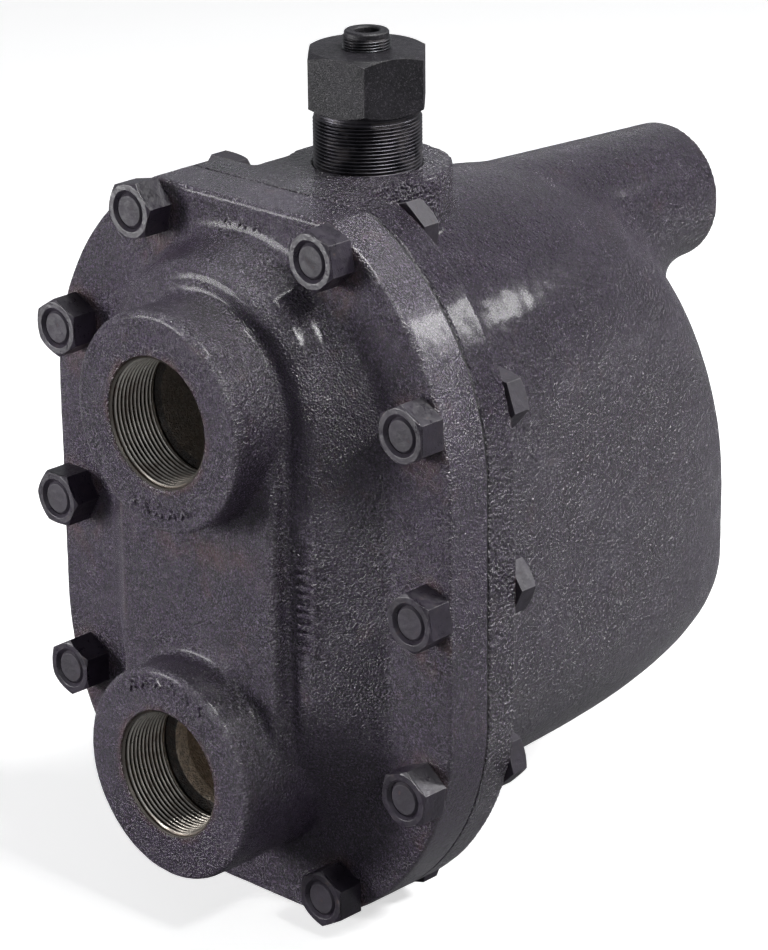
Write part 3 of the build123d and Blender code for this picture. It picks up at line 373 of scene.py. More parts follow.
def enamel_on_steel(name, seed, matt=0.0):
    """The same enamel, thinner and smoother, on nuts and bolts."""
    s = Shader(name)
    cloud = s.noise(90.0 + seed, 3.0, 0.6)
    dirt = s.noise(260.0 + seed, 5.0, 0.65, 0.5)
    fine = s.noise(1700.0, 3.0, 0.6)
    edge = s.edges(0.0009)
    colour = s.mix(s.ramp(cloud, 0.35, 0.65), (0.0150, 0.0110, 0.0190), (0.0265, 0.0200, 0.0330))
    colour = s.mix(s.ramp(dirt, 0.60, 0.74, 0.0, 0.6), colour, (0.070, 0.036, 0.032))
    # Edges painted lighter: partly worn paint, partly a painted edge highlight.
    worn_and_lit_edge = s.math("MULTIPLY", edge, s.ramp(dirt, 0.40, 0.60))
    colour = s.mix(s.math("MULTIPLY", worn_and_lit_edge, 0.55), colour, (0.17, 0.155, 0.165))
    roughness = s.ramp(s.math("ADD", dirt, s.math("MULTIPLY", fine, 0.5)), 0.55, 0.95, 0.26 + matt, 0.46 + matt)
    lumps = s.noise(340.0 + seed, 3.0, 0.6)
    height = s.math("ADD", s.math("MULTIPLY", lumps, 1.0), s.math("MULTIPLY", fine, 0.25))
    normal = s.bump(height, 0.7, 0.0004)
    return s.finish(colour, roughness, normal, Specular_IOR_Level=0.45)


def matt_black(name):
    """Matt black coating of the vacuum breaker, with corners painted lighter: partly rubbed, partly a painted
    highlight.
    """
    s = Shader(name)
    cloud = s.noise(55.0, 4.0, 0.6)
    fine = s.noise(1900.0, 3.0, 0.65)
    rub = s.noise(330.0, 4.0, 0.7)
    edge = s.edges(0.0008)
    colour = s.mix(s.ramp(cloud, 0.35, 0.65), (0.0085, 0.0078, 0.0100), (0.0165, 0.0150, 0.0190))
    # Corners painted lighter: partly rubbed coating, partly a painted highlight.
    worn_and_lit_edge = s.math("MULTIPLY", edge, s.ramp(rub, 0.45, 0.62))
    colour = s.mix(s.math("MULTIPLY", worn_and_lit_edge, 0.45), colour, (0.11, 0.105, 0.10))
    speck = s.noise(1000.0, 2.0, 0.75)
    colour = s.mix(s.ramp(speck, 0.53, 0.68, 0.0, 0.8), colour, (0.065, 0.058, 0.070))
    roughness = s.ramp(s.math("ADD", rub, s.math("MULTIPLY", fine, 0.5)), 0.55, 0.95, 0.34, 0.55)
    height = s.math("ADD", s.math("MULTIPLY", fine, 0.6), s.math("MULTIPLY", rub, 0.4))
    normal = s.bump(height, 0.6, 0.0005)
    return s.finish(colour, roughness, normal, Specular_IOR_Level=0.22)


def cut_thread(name, crest_highlight, dull, rust_share):
    """Bare cut thread: crests painted bright as a highlight, dull oxidised flanks and rust in the roots."""
    s = Shader(name)
    crest = s.attribute("crest")
    blotch = s.noise(120.0, 5.0, 0.65, 0.6)
    fine = s.noise(1600.0, 3.0, 0.6)
    # Painted highlight: the crests are coloured far lighter than the flanks.
    colour = s.mix(s.ramp(crest, 0.15, 0.95), dull, crest_highlight)
    rusty = s.math("MULTIPLY", s.ramp(blotch, 0.46, 0.66), s.ramp(crest, 1.0, 0.1, 0.35, 1.0))
    colour = s.mix(s.math("MULTIPLY", rusty, rust_share), colour, (0.085, 0.040, 0.022))
    # Painted shade: darker where the stored attribute marks the thread as lying in shade.
    thread_shade = s.attribute("thread_shade")
    colour = s.mix(s.math("MULTIPLY", thread_shade, 0.8), colour, (0.030, 0.020, 0.014))
    metallic = s.ramp(rusty, 0.0, 0.9, 0.92, 0.25)
    roughness = s.ramp(s.math("ADD", blotch, s.math("MULTIPLY", fine, 0.5)), 0.5, 1.0, 0.24, 0.52)
    normal = s.bump(s.math("ADD", fine, blotch), 0.3, 0.0002)
    return s.finish(colour, roughness, normal, metallic)


def worked_metal(name, colour, roughness, grain_axis, seed):
    """Stainless or copper with the fine lines of turning or rolling across one axis, and its edges painted lighter as a
    highlight.
    """
    s = Shader(name)
    factors = [900.0, 900.0, 900.0]
    for axis in range(3):
        if axis != grain_axis:
            factors[axis] = 60.0
    lines = s.noise(1.0, 4.0, 0.7, vector=s.stretched(tuple(factors)))
    cloud = s.noise(70.0 + seed, 4.0, 0.6)
    fine = s.noise(2100.0, 2.0, 0.6)
    edge = s.edges(0.0005)
    dark = tuple(c * 0.62 for c in colour)
    grain_and_edge_highlight = tuple(min(1.0, c * 1.18) for c in colour)
    tint = s.mix(s.ramp(cloud, 0.3, 0.7), dark, colour)
    tint = s.mix(s.ramp(lines, 0.35, 0.70, 0.0, 0.5), tint, grain_and_edge_highlight)
    # Painted highlight: every edge is lightened, with no wear mask.
    tint = s.mix(s.math("MULTIPLY", edge, 0.6), tint, grain_and_edge_highlight)
    rough = s.ramp(s.math("ADD", cloud, s.math("MULTIPLY", lines, 0.6)), 0.5, 1.1, roughness * 0.7, roughness * 1.35)
    height = s.math("ADD", s.math("MULTIPLY", lines, 0.8), s.math("MULTIPLY", fine, 0.3))
    return s.finish(tint, rough, s.bump(height, 0.25, 0.00015), 1.0)


def gasket_sheet(name):
    """Compressed fibre sheet, dark, with paint and oil at its edge."""
    s = Shader(name)
    fibre = s.noise(1100.0, 4.0, 0.7, 1.2)
    stain = s.noise(60.0, 4.0, 0.6)
    colour = s.mix(s.ramp(fibre, 0.35, 0.65), (0.003, 0.003, 0.004), (0.014, 0.013, 0.013))
    colour = s.mix(s.ramp(stain, 0.45, 0.65, 0.0, 0.6), colour, (0.005, 0.004, 0.005))
    roughness = s.ramp(fibre, 0.3, 0.7, 0.6, 0.85)
    return s.finish(colour, roughness, s.bump(fibre, 0.4, 0.0002))


def bare_iron(name):
    """Plain iron plug, lightly oxidised, with its edges painted lighter as a highlight."""
    s = Shader(name)
    blotch = s.noise(95.0, 5.0, 0.65, 0.5)
    grit = s.noise(700.0, 4.0, 0.6)
    edge = s.edges(0.0008)
    colour = s.mix(s.ramp(blotch, 0.40, 0.65), (0.16, 0.145, 0.135), (0.085, 0.052, 0.035))
    colour = s.mix(s.ramp(grit, 0.55, 0.75, 0.0, 0.6), colour, (0.05, 0.035, 0.028))
    # Painted highlight: the plug's edges are lightened.
    colour = s.mix(s.math("MULTIPLY", edge, 0.5), colour, (0.33, 0.31, 0.29))
    metallic = s.ramp(blotch, 0.40, 0.65, 0.8, 0.3)
    roughness = s.ramp(grit, 0.3, 0.7, 0.40, 0.62)
    return s.finish(colour, roughness, s.bump(grit, 0.4, 0.0003), metallic)


# ---------------------------------------------------------------- mesh helpers

def link(obj):
    bpy.context.scene.collection.objects.link(obj)
    return obj


def drop(obj):
    """Removes a helper object and its mesh."""
    mesh = obj.data
    bpy.data.objects.remove(obj)
    bpy.data.meshes.remove(mesh)


def positions(mesh):
    co = np.empty(len(mesh.vertices) * 3, np.float32)
    mesh.vertices.foreach_get("co", co)
    return co.reshape(-1, 3).astype(np.float64)


def set_positions(mesh, co):
    mesh.vertices.foreach_set("co", co.astype(np.float32).ravel())
    mesh.update()


def set_attribute(mesh, name, values):
    made = mesh.attributes.get(name) or mesh.attributes.new(name, "FLOAT", "POINT")
    made.data.foreach_set("value", values.astype(np.float32))


def evaluated(obj, name):
    """New mesh of an object with its modifiers applied."""
    graph = bpy.context.evaluated_depsgraph_get()
    mesh = bpy.data.meshes.new_from_object(obj.evaluated_get(graph), depsgraph=graph)
    mesh.name = name
    return mesh


def frame_of(origin, axis):
    """Matrix that puts local +Z along an axis, at an origin in millimetres."""
    turn = Vector(axis).to_track_quat("Z", "Y").to_matrix().to_4x4()
    return Matrix.Translation(Vector(origin) * MM) @ turn


def lathe(name, profile, place, sides=96):
    """Closed solid of revolution about local +Z from (radius, height) points in millimetres."""
    made = bmesh.new()
    rings = []
    for radius, height in profile:
        if radius <= 0:
            rings.append([made.verts.new((0.0, 0.0, height * MM))])
            continue
        ring = []
        for k in range(sides):
            a = 2 * math.pi * k / sides
            ring.append(made.verts.new((radius * MM * math.cos(a), radius * MM * math.sin(a), height * MM)))
        rings.append(ring)
    for lower, upper in zip(rings, rings[1:]):
        for k in range(sides):
            n = (k + 1) % sides
            corners = [lower[k % len(lower)], lower[n % len(lower)], upper[n % len(upper)], upper[k % len(upper)]]
            unique = []
            for corner in corners:
                if corner not in unique:
                    unique.append(corner)
            if len(unique) > 2:
                made.faces.new(unique)
    bmesh.ops.recalc_face_normals(made, faces=made.faces)
    mesh = bpy.data.meshes.new(name)
    made.to_mesh(mesh)
    made.free()
    mesh.transform(place)
    return link(bpy.data.objects.new(name, mesh))


def block(name, low, high):
    """Closed box between two corners in millimetres."""
    made = bmesh.new()
    bmesh.ops.create_cube(made, size=1.0)
    low, high = Vector(low) * MM, Vector(high) * MM
    for v in made.verts:
        v.co = Vector(low[i] + (v.co[i] + 0.5) * (high[i] - low[i]) for i in range(3))
    mesh = bpy.data.meshes.new(name)
    made.to_mesh(mesh)
    made.free()
    return link(bpy.data.objects.new(name, mesh))


def lattice_noise(points, scale, seed):
    """Smooth noise from -1 to 1 on points in metres, with features of that scale in millimetres."""
    cell = points / (scale * MM)
    base = np.floor(cell).astype(np.int64)
    part = cell - base
    part = part * part * (3 - 2 * part)
    total = np.zeros(len(points))
    for dx in (0, 1):
        for dy in (0, 1):
            for dz in (0, 1):
                n = (base[:, 0] + dx) * 73856093 ^ (base[:, 1] + dy) * 19349663 ^ (base[:, 2] + dz) * 83492791
                n = (n + seed * 2654435761) & 0x7FFFFFFF
                n = (n ^ (n >> 13)) * 1274126177 & 0x7FFFFFFF
                value = ((n ^ (n >> 16)) & 0xFFFF) / 32767.5 - 1
                weight = (
                    (part[:, 0] if dx else 1 - part[:, 0])
                    * (part[:, 1] if dy else 1 - part[:, 1])
                    * (part[:, 2] if dz else 1 - part[:, 2])
                )
                total += weight * value
    return total


def edge_pairs(mesh):
    pairs = np.empty(len(mesh.edges) * 2, np.int32)
    mesh.edges.foreach_get("vertices", pairs)
    return pairs.reshape(-1, 2)


def neighbour_mean(values, pairs, counts):
    """Mean over each vertex's neighbours, one column at a time."""
    size = len(values)
    out = np.empty_like(values)
    for c in range(values.shape[1]):
        column = values[:, c]
        out[:, c] = np.bincount(pairs[:, 0], column[pairs[:, 1]], size)
        out[:, c] += np.bincount(pairs[:, 1], column[pairs[:, 0]], size)
    return out / counts[:, None]


def normals_of(mesh):
    out = np.empty(len(mesh.vertices) * 3, np.float32)
    mesh.vertex_normals.foreach_get("vector", out)
    return out.reshape(-1, 3).astype(np.float64)


def fill_corners(mesh, steps, weight):
    """Smooths a casting: inside corners fill up to fillets, outside ones hardly give way."""
    pairs = edge_pairs(mesh)
    counts = np.maximum(np.bincount(pairs.ravel(), minlength=len(mesh.vertices)), 1).astype(float)
    co = positions(mesh)
    normals = normals_of(mesh)
    for step in range(steps):
        pull = neighbour_mean(co, pairs, counts) - co
        lift = (pull * normals).sum(1)
        give = np.where(lift > 0, 1.0, FIRST_GIVE if step == 0 else CONVEX_GIVE)
        pull += normals * (lift * (give - 1.0))[:, None]
        co = co + pull * (0.5 * weight)[:, None]
        if step % 4 == 3:
            set_positions(mesh, co)
            normals = normals_of(mesh)
    return co


def convexity(mesh, pairs, spread):
    """How far each vertex stands out from its neighbours, in metres, spread over a few rings."""
    co, normals = positions(mesh), normals_of(mesh)
    size = len(co)
    counts = np.maximum(np.bincount(pairs.ravel(), minlength=size), 1).astype(float)
    mean = neighbour_mean(co, pairs, counts)
    height = ((co - mean) * normals).sum(1)[:, None]
    for _ in range(spread):
        height = 0.5 * height + 0.5 * neighbour_mean(height, pairs, counts)
    return height[:, 0]


def cut(obj, cutters):
    """Machines an object: takes the cutters away from it, then drops them."""
    for cutter in cutters:
        step = obj.modifiers.new("cut", "BOOLEAN")
        step.operation = "DIFFERENCE"
        step.solver = "MANIFOLD"
        step.object = cutter
    mesh = evaluated(obj, obj.data.name)
    mesh.materials.clear()
    mesh.polygons.foreach_set("material_index", np.zeros(len(mesh.polygons), np.int32))
    old = obj.data
    obj.modifiers.clear()
    obj.data = mesh
    bpy.data.meshes.remove(old)
    for cutter in cutters:
        drop(cutter)


# ---------------------------------------------------------------- castings

def make_casting(name, cad_node, voxel, plugs, stretch, steps, give, cutters, seed):
    """Cast copy of a CAD node: rounded by smoothing, slightly uneven, then machined by the cutters.

    plugs fill holes that are cut afterwards, stretch moves the machined face out so that its edge
    is cut sharp, and give says how freely each place is smoothed.
    """
    low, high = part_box(cad_node)
    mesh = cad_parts[cad_node].data.copy()
    co = positions(mesh)
    set_positions(mesh, stretch(co))
    rough = link(bpy.data.objects.new(name + "_rough", mesh))
    bpy.ops.object.select_all(action="DESELECT")
    for plug in plugs:
        plug.select_set(True)
    rough.select_set(True)
    bpy.context.view_layer.objects.active = rough
    bpy.ops.object.join()
    remesh = rough.modifiers.new("voxels", "REMESH")
    remesh.mode = "VOXEL"
    remesh.voxel_size = voxel * MM
    made = evaluated(rough, name)
    drop(rough)
    made.materials.clear()

    co = fill_corners(made, steps, give(positions(made)))
    set_positions(made, co)
    normals = normals_of(made)
    uneven = 0.13 * lattice_noise(co, 19.0, seed) + 0.06 * lattice_noise(co, 6.5, seed + 1)
    uneven += 0.045 * lattice_noise(co, 2.9, seed + 2)
    co = co + normals * (uneven * MM * give(co))[:, None]
    for axis in (0, 2):
        co[:, axis] = np.clip(co[:, axis], low[axis] + BOX_GAP, high[axis] - BOX_GAP)
    set_positions(made, co)

    casting = link(bpy.data.objects.new(name, made))
    cut(casting, cutters)
    return casting


def mark_casting(casting, bare, rust, edge_scale):
    """Stores where the iron is bare, where it rusts and where the edges are, for the material."""
    mesh = casting.data
    pairs = edge_pairs(mesh)
    turn = convexity(mesh, pairs, 2)
    set_attribute(mesh, "edge", np.clip(turn / (edge_scale * MM), 0, 1))
    set_attribute(mesh, "bare", bare(positions(mesh) / MM))
    set_attribute(mesh, "rust", rust(positions(mesh) / MM))
    set_attribute(mesh, "polish_and_painted_light", bores_painted_bright(positions(mesh) / MM))
    mesh.shade_smooth()


def within_rim(mm, inset):
    """Where points lie inside the flange's outline by at least an inset, in millimetres."""
    along = np.maximum(np.maximum(mm[:, 2] - FLANGE_ARCS_Z[0], FLANGE_ARCS_Z[1] - mm[:, 2]), 0.0)
    reach = np.hypot(mm[:, 0], along)
    return (reach < FLANGE_RADIUS - inset) & (mm[:, 2] < BOSS_TOP_Z - inset) & (mm[:, 2] > inset + FLANGE_BOTTOM_Z)


def port_cutter(name, z, depth):
    """Countersunk bore of a port."""
    profile = [
        (0.0, -3.0),
        (PORT_RADIUS + 3.55, -3.0),
        (PORT_RADIUS, 0.55),
        (PORT_RADIUS, depth),
        (0.0, depth),
    ]
    return lathe(name, profile, frame_of((0.0, 0.0, z), (0, 1, 0)), 128)


def near_nuts(mm):
    """From 1 at the nuts to 0 a few millimetres off, and a little further below them."""
    close = np.full(len(mm), 99.0)
    for x, z in BOLT_SPOTS:
        drop_z = mm[:, 2] - z
        close = np.minimum(close, np.hypot(mm[:, 0] - x, np.where(drop_z < 0, drop_z * 0.6, drop_z)))
    return np.clip((19.0 - close) / 5.0, 0, 1)


def cover_rust(mm):
    """Rust tints: the pad's left edge, under the upper boss, the lips of the bores and round the nuts."""
    pad_edge = np.exp(-(((mm[:, 0] + 48.0) / 3.0) ** 2)) * (mm[:, 2] < -35) * (mm[:, 2] > -135)
    under = np.exp(-(((mm[:, 2] + 62.0) / 9.0) ** 2) - (mm[:, 0] / 38.0) ** 2) * (mm[:, 1] > 10) * 0.7
    rust = np.maximum(pad_edge, under)
    for z in (0.0, -PORT_DROP):
        reach = np.hypot(mm[:, 0], mm[:, 2] - z)
        lip = np.exp(-(((reach - PORT_RADIUS - 1.0) / 1.8) ** 2)) * (mm[:, 1] < 6)
        rust = np.maximum(rust, lip)
    flat = (mm[:, 1] > COVER_FACE_Y - 1.5) & (mm[:, 1] < COVER_FACE_Y + 1.5)
    return np.maximum(rust, near_nuts(mm) * flat * 0.8)


def bores_painted_bright(mm):
    """Where the passages behind the ports are bare machined metal, painted bright as light although they lie in shade:
    all the outlet's, little of the inlet's.
    """
    shine = np.zeros(len(mm))
    for z, share in ((0.0, 0.26), (-PORT_DROP, 1.0)):
        reach = np.hypot(mm[:, 0], mm[:, 2] - z)
        shine[(reach < 38) & (mm[:, 1] > PORT_DEPTH + 0.4) & (mm[:, 1] < 62)] = share
    return shine


def body_rust(mm):
    """Rust tints behind the flange, round the bolt heads, and at the tube's end."""
    behind = near_nuts(mm) * (np.abs(mm[:, 1] - 95.5) < 2.0)
    end = np.exp(-(((mm[:, 1] - TUBE_END_Y) / 3.0) ** 2)) * 0.7
    return np.maximum(behind, end)


def make_cover():
    def stretch(co):
        """Moves the back face out, and takes the raised marks off."""
        out = co.copy()
        out[co[:, 1] > (COVER_BACK_Y - 0.05) * MM, 1] += MACHINING_STOCK * MM
        out[co[:, 1] < -0.0001, 1] = 0.0
        mm = co / MM
        top = (np.abs(mm[:, 0] - 1.5) < 14) & (mm[:, 2] > 73) & (mm[:, 2] < 81)
        out[top & (mm[:, 1] > COVER_FACE_Y - 1.2) & (mm[:, 1] < COVER_FACE_Y), 1] = COVER_FACE_Y * MM
        x, y, _ = BAR_SPOTS[0]
        lean = np.array((math.sin(math.radians(BAR_TILT)), -math.cos(math.radians(BAR_TILT))))
        above = (mm[:, 0] - x) * lean[0] + (mm[:, 1] - y) * lean[1]
        bars = (np.abs(mm[:, 0] - x) < 8) & (mm[:, 2] > -104) & (mm[:, 2] < -57) & (above > 0.45) & (above < 1.4)
        out[bars, :2] -= lean * 1.5 * MM
        return out

    def give(co):
        """Rounded everywhere but near the ports' mouths and the back face."""
        mm = co / MM
        weight = np.ones(len(co))
        for z in (0.0, -PORT_DROP):
            reach = np.hypot(mm[:, 0], mm[:, 2] - z)
            near = (reach < 34) & (mm[:, 1] > 0.6) & (mm[:, 1] < 34)
            weight[near] = 0.15
        weight[mm[:, 1] > COVER_BACK_Y - 4] = 0.25
        weight[(mm[:, 1] > 54)] *= 0.6
        return weight

    def bare(mm):
        inside = np.zeros(len(mm))
        for z in (0.0, -PORT_DROP):
            reach = np.hypot(mm[:, 0], mm[:, 2] - z)
            inside[(reach < PORT_RADIUS + 0.2) & (mm[:, 1] > 0.4)] = 1.0
        inside[within_rim(mm, 40.0) & (mm[:, 1] > 57.0)] = 1.0
        inside[within_rim(mm, 4.0) & (mm[:, 1] > COVER_BACK_Y - 0.1)] = 1.0
        return inside

    plugs = []
    for k, z in enumerate((0.0, -PORT_DROP)):
        profile = [(0.0, 0.0), (PORT_RADIUS + 4, 0.0), (PORT_RADIUS + 4, 22.0), (0.0, 22.0)]
        plugs.append(lathe(f"plug_{k}", profile, frame_of((0.0, 0.0, z), (0, 1, 0)), 64))
    cutters = [
        port_cutter("cut_inlet", 0.0, PORT_DEPTH + 0.2),
        port_cutter("cut_outlet", -PORT_DROP, PORT_DEPTH + 0.2),
        block("cut_back", (-200, COVER_BACK_Y, -300), (200, COVER_BACK_Y + 20, 200)),
    ]
    casting = make_casting("cover_cast", "cover_casting", 1.0, plugs, stretch, 16, give, cutters, 11)
    mark_casting(casting, bare, cover_rust, 0.05)
    casting.data.materials.append(cast_enamel("enamel_cover", 1100.0, 0.26, 3.1))
    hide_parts("cover_casting")
    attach(casting, "root")


def make_body():
    def stretch(co):
        out = co.copy()
        out[co[:, 1] < (BODY_FACE_Y + 0.05) * MM, 1] -= MACHINING_STOCK * MM
        return out

    def give(co):
        mm = co / MM
        weight = np.ones(len(co))
        reach = np.hypot(mm[:, 0], mm[:, 1] - BREAKER_Y)
        weight[(reach < 27) & (mm[:, 2] > 60)] = 0.3
        reach = np.hypot(mm[:, 0], mm[:, 2] - TUBE_Z)
        weight[(reach < 27) & (mm[:, 1] > TUBE_END_Y - 24)] = 0.3
        weight[mm[:, 1] < BODY_FACE_Y + 4] = 0.25
        return weight

    def bare(mm):
        inside = np.zeros(len(mm))
        inside[within_rim(mm, 4.0) & (mm[:, 1] < BODY_FACE_Y + 0.1)] = 1.0
        reach = np.hypot(mm[:, 0], mm[:, 2] - TUBE_Z)
        inside[(reach < PLUG_RADIUS + 0.3) & (mm[:, 1] > TUBE_END_Y - 30)] = 1.0
        return inside

    plugs = [
        lathe("plug_breaker", [(0.0, 66.0), (28.0, 66.0), (28.0, BOSS_TOP_Z), (0.0, BOSS_TOP_Z)],
              Matrix.Translation((0.0, BREAKER_Y * MM, 0.0)), 64),
        lathe("plug_tube", [(0.0, -18.0), (28.0, -18.0), (28.0, 0.0), (0.0, 0.0)],
              frame_of((0.0, TUBE_END_Y, TUBE_Z), (0, 1, 0)), 64),
    ]
    cutters = [
        lathe("cut_breaker", [(0.0, 60.0), (24.3, 60.0), (24.3, 86.0), (25.6, 87.3), (25.6, 92.0), (0.0, 92.0)],
              Matrix.Translation((0.0, BREAKER_Y * MM, 0.0)), 128),
        lathe("cut_tube", [(0.0, -26.0), (PLUG_RADIUS + 0.1, -26.0), (PLUG_RADIUS + 0.1, -1.0),
                           (PLUG_RADIUS + 3.1, 2.0), (0.0, 2.0)],
              frame_of((0.0, TUBE_END_Y, TUBE_Z), (0, 1, 0)), 128),
        block("cut_face", (-200, BODY_FACE_Y - 20, -300), (200, BODY_FACE_Y, 200)),
    ]
    casting = make_casting("body_cast", "body_casting", 1.5, plugs, stretch, 24, give, cutters, 29)
    mark_casting(casting, bare, body_rust, 0.07)
    casting.data.materials.append(cast_enamel("enamel_body", 640.0, 1.0, 7.7))
    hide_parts("body_casting")
    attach(casting, "root")


# ---------------------------------------------------------------- raised marks

def raise_mark(made, outline, spot, turn, tilt):
    """Adds one mark that stands out of the cover's front: a soft-topped prism on its outline."""
    place = (
        Matrix.Translation(Vector(spot))
        @ Matrix.Rotation(math.radians(tilt), 4, "Z")
        @ Matrix.Rotation(math.radians(90), 4, "X")
        @ Matrix.Rotation(math.radians(turn), 4, "Z")
    )
    centre = Vector((sum(x for x, _ in outline) / len(outline), sum(y for _, y in outline) / len(outline)))
    rings = []
    for height, share in ((-1.2, 1.10), (0.05, 1.08), (0.45, 1.0), (0.70, 0.92), (MARK_HEIGHT - 0.02, 0.80)):
        ring = []
        for x, y in outline:
            corner = place @ Vector((centre.x + (x - centre.x) * share, centre.y + (y - centre.y) * share, height))
            ring.append(made.verts.new(corner * MM))
        rings.append(ring)
    count = len(outline)
    for lower, upper in zip(rings, rings[1:]):
        for k in range(count):
            n = (k + 1) % count
            made.faces.new((lower[k], lower[n], upper[n], upper[k]))
    made.faces.new(rings[-1])
    made.faces.new(list(reversed(rings[0])))


def make_marks():
    """Chevrons into the inlet, out of the outlet and towards the top, and bars beside the pad."""
    made = bmesh.new()
    for count, radius, middle, spread, point, z in (INLET_MARKS, OUTLET_MARKS):
        for k in range(count):
            angle = middle + spread * (k / (count - 1) - 0.5)
            x, up = radius * math.cos(math.radians(angle)), radius * math.sin(math.radians(angle))
            raise_mark(made, CHEVRON, (x, 0.0, z + up), angle + point, 0.0)
    for x, z in TOP_MARK_SPOTS:
        raise_mark(made, CHEVRON, (x, COVER_FACE_Y, z), 0.0, 0.0)
    for x, y, z in BAR_SPOTS:
        for side in (-0.5, 0.5):
            raise_mark(made, BAR, (x, y, z + side * BAR_PITCH), 0.0, BAR_TILT)
    bmesh.ops.recalc_face_normals(made, faces=made.faces)
    mesh = bpy.data.meshes.new("raised_marks")
    made.to_mesh(mesh)
    made.free()
    mesh.materials.append(cast_enamel("enamel_marks", 1100.0, 0.2, 5.3))
    marks = link(bpy.data.objects.new("raised_marks", mesh))
    soften = marks.modifiers.new("soften", "BEVEL")
    soften.width = 0.18 * MM
    soften.segments = 2
    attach(marks, "root")


# ---------------------------------------------------------------- threads

def make_thread(name, place, length, root, crest, pitch, taper, material, body, mouth=None, end=None,
                sides=192, shade_angle=None):
    """Screw thread as a closed sleeve about local +Z, in millimetres.

    The sleeve's wall lies at the root and its ridges reach to the crest: inward for a hole, outward
    for a pipe. mouth gives the radius that a countersink or a chamfer leaves at a height, end how
    much of the ridge is left there, and the angle argument the side that is painted darker as shade.
    A hole is also painted darker as shade near its mouth.
    """
    inward = crest < root
    rows = max(24, int(length / pitch * 14))
    heights = np.linspace(0.0, length, rows + 1)
    angles = np.arange(sides) * (2 * math.pi / sides)
    grid_h, grid_a = np.meshgrid(heights, angles, indexing="ij")
    phase = (grid_h / pitch - grid_a / (2 * math.pi)) % 1.0
    ridge = np.clip(1.18 - np.abs(phase - 0.5) * 2 * 1.36, 0.0, 1.0)
    shift = -grid_h * taper
    radius = root + shift + (crest - root) * ridge
    if mouth is not None:
        limit = mouth(grid_h)
        radius = np.maximum(radius, limit) if inward else np.minimum(radius, limit)
    if end is not None:
        fade = end(grid_h)
        radius = root + shift + (radius - root - shift) * fade
    back = root + (0.02 if inward else -0.25)
    wall = np.full(sides, back)

    def ring(r, h):
        return np.stack([r * np.cos(angles), r * np.sin(angles), np.full(sides, h)], 1)

    rings = [ring(radius[k], heights[k]) for k in range(rows + 1)]
    rings.append(ring(np.maximum(wall, radius[-1]) if inward else np.minimum(wall, radius[-1]), heights[-1]))
    rings.append(ring(np.maximum(wall, radius[0]) if inward else np.minimum(wall, radius[0]), heights[0]))
    points = np.concatenate(rings) * MM
    count = len(rings)
    faces = []
    for k in range(count):
        n = (k + 1) % count
        for j in range(sides):
            m = (j + 1) % sides
            faces.append((k * sides + j, k * sides + m, n * sides + m, n * sides + j))
    mesh = bpy.data.meshes.new(name)
    mesh.from_pydata(points.tolist(), [], faces)
    made = bmesh.new()
    made.from_mesh(mesh)
    bmesh.ops.recalc_face_normals(made, faces=made.faces)
    made.to_mesh(mesh)
    made.free()
    crest_share = np.concatenate([ridge.ravel(), np.zeros(2 * sides)])
    set_attribute(mesh, "crest", crest_share)
    # Painted shade: one side of the thread, and the first millimetres inside a hole's mouth, are stored darker.
    shaded_side = np.clip(np.cos(angles - shade_angle) * 1.6 - 0.35, 0, 1) if shade_angle is not None else np.zeros(sides)
    mouth_shade = np.clip((3.2 - np.append(heights, (length, 0.0))) / 2.0, 0, 1) if inward else np.zeros(rows + 3)
    set_attribute(mesh, "thread_shade", np.maximum(shaded_side[None, :], mouth_shade[:, None]).ravel())
    mesh.transform(place)
    mesh.shade_smooth()
    mesh.materials.append(material)
    thread = link(bpy.data.objects.new(name, mesh))
    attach(thread, body)
    return thread


# Side of the ports' threads that is painted darker as shade, about each port's axis
PORT_SHADE_ANGLE = math.radians(-132)


def make_port_threads():
    def countersink(h):
        return PORT_RADIUS + 0.55 - h

    def run_out(h):
        return np.clip((26.0 - h) / 3.0, 0.0, 1.0)

    for name, z in (("inlet_thread", 0.0), ("outlet_thread", -PORT_DROP)):
        material = cut_thread("bare_" + name, (0.66, 0.63, 0.57), (0.034, 0.027, 0.021), 0.85)
        make_thread(name, frame_of((0.0, 0.0, z), (0, 1, 0)), 26.6, PORT_RADIUS, PORT_RADIUS - 1.55, PIPE_PITCH,
                    1 / 32, material, "root", countersink, run_out, shade_angle=PORT_SHADE_ANGLE)


def make_breaker_threads():
    black = cut_thread("black_neck_thread", (0.045, 0.043, 0.050), (0.014, 0.013, 0.016), 0.1)

    def lead_in(h):
        return np.minimum(24.1, 23.1 + np.maximum(31.0 - h, 0.0) * 0.8)

    make_thread("neck_thread", Matrix.Translation((0.0, BREAKER_Y * MM, 78.0 * MM)), 33.0, 23.05, 24.1, NECK_PITCH,
                0.0, black, "root", lead_in)
    make_thread("nipple_thread", Matrix.Translation((0.0, BREAKER_Y * MM, 138.3 * MM)), 5.2, 9.92, 10.8, 1.27,
                0.0, cut_thread("black_nipple_thread", (0.05, 0.05, 0.055), (0.014, 0.013, 0.016), 0.1),
                "root", sides=96)


# ---------------------------------------------------------------- rounded copies of the CAD nodes

def taper_ends(made, depth, least, most, to):
    """Chamfers the front end of every bolt, or of every nut's hole, to a radius in millimetres."""
    front = min(v.co.y for v in made.verts)
    geometry = list(made.verts) + list(made.edges) + list(made.faces)
    bmesh.ops.bisect_plane(made, geom=geometry, plane_co=(0, front + depth * MM, 0), plane_no=(0, 1, 0))
    for v in made.verts:
        if v.co.y > front + 0.00002:
            continue
        x, z = min(BOLT_SPOTS, key=lambda spot: math.hypot(v.co.x - spot[0] * MM, v.co.z - spot[1] * MM))
        away = Vector((v.co.x - x * MM, v.co.z - z * MM))
        if least * MM < away.length < most * MM:
            away = away.normalized() * to * MM
            v.co.x, v.co.z = x * MM + away.x, z * MM + away.y


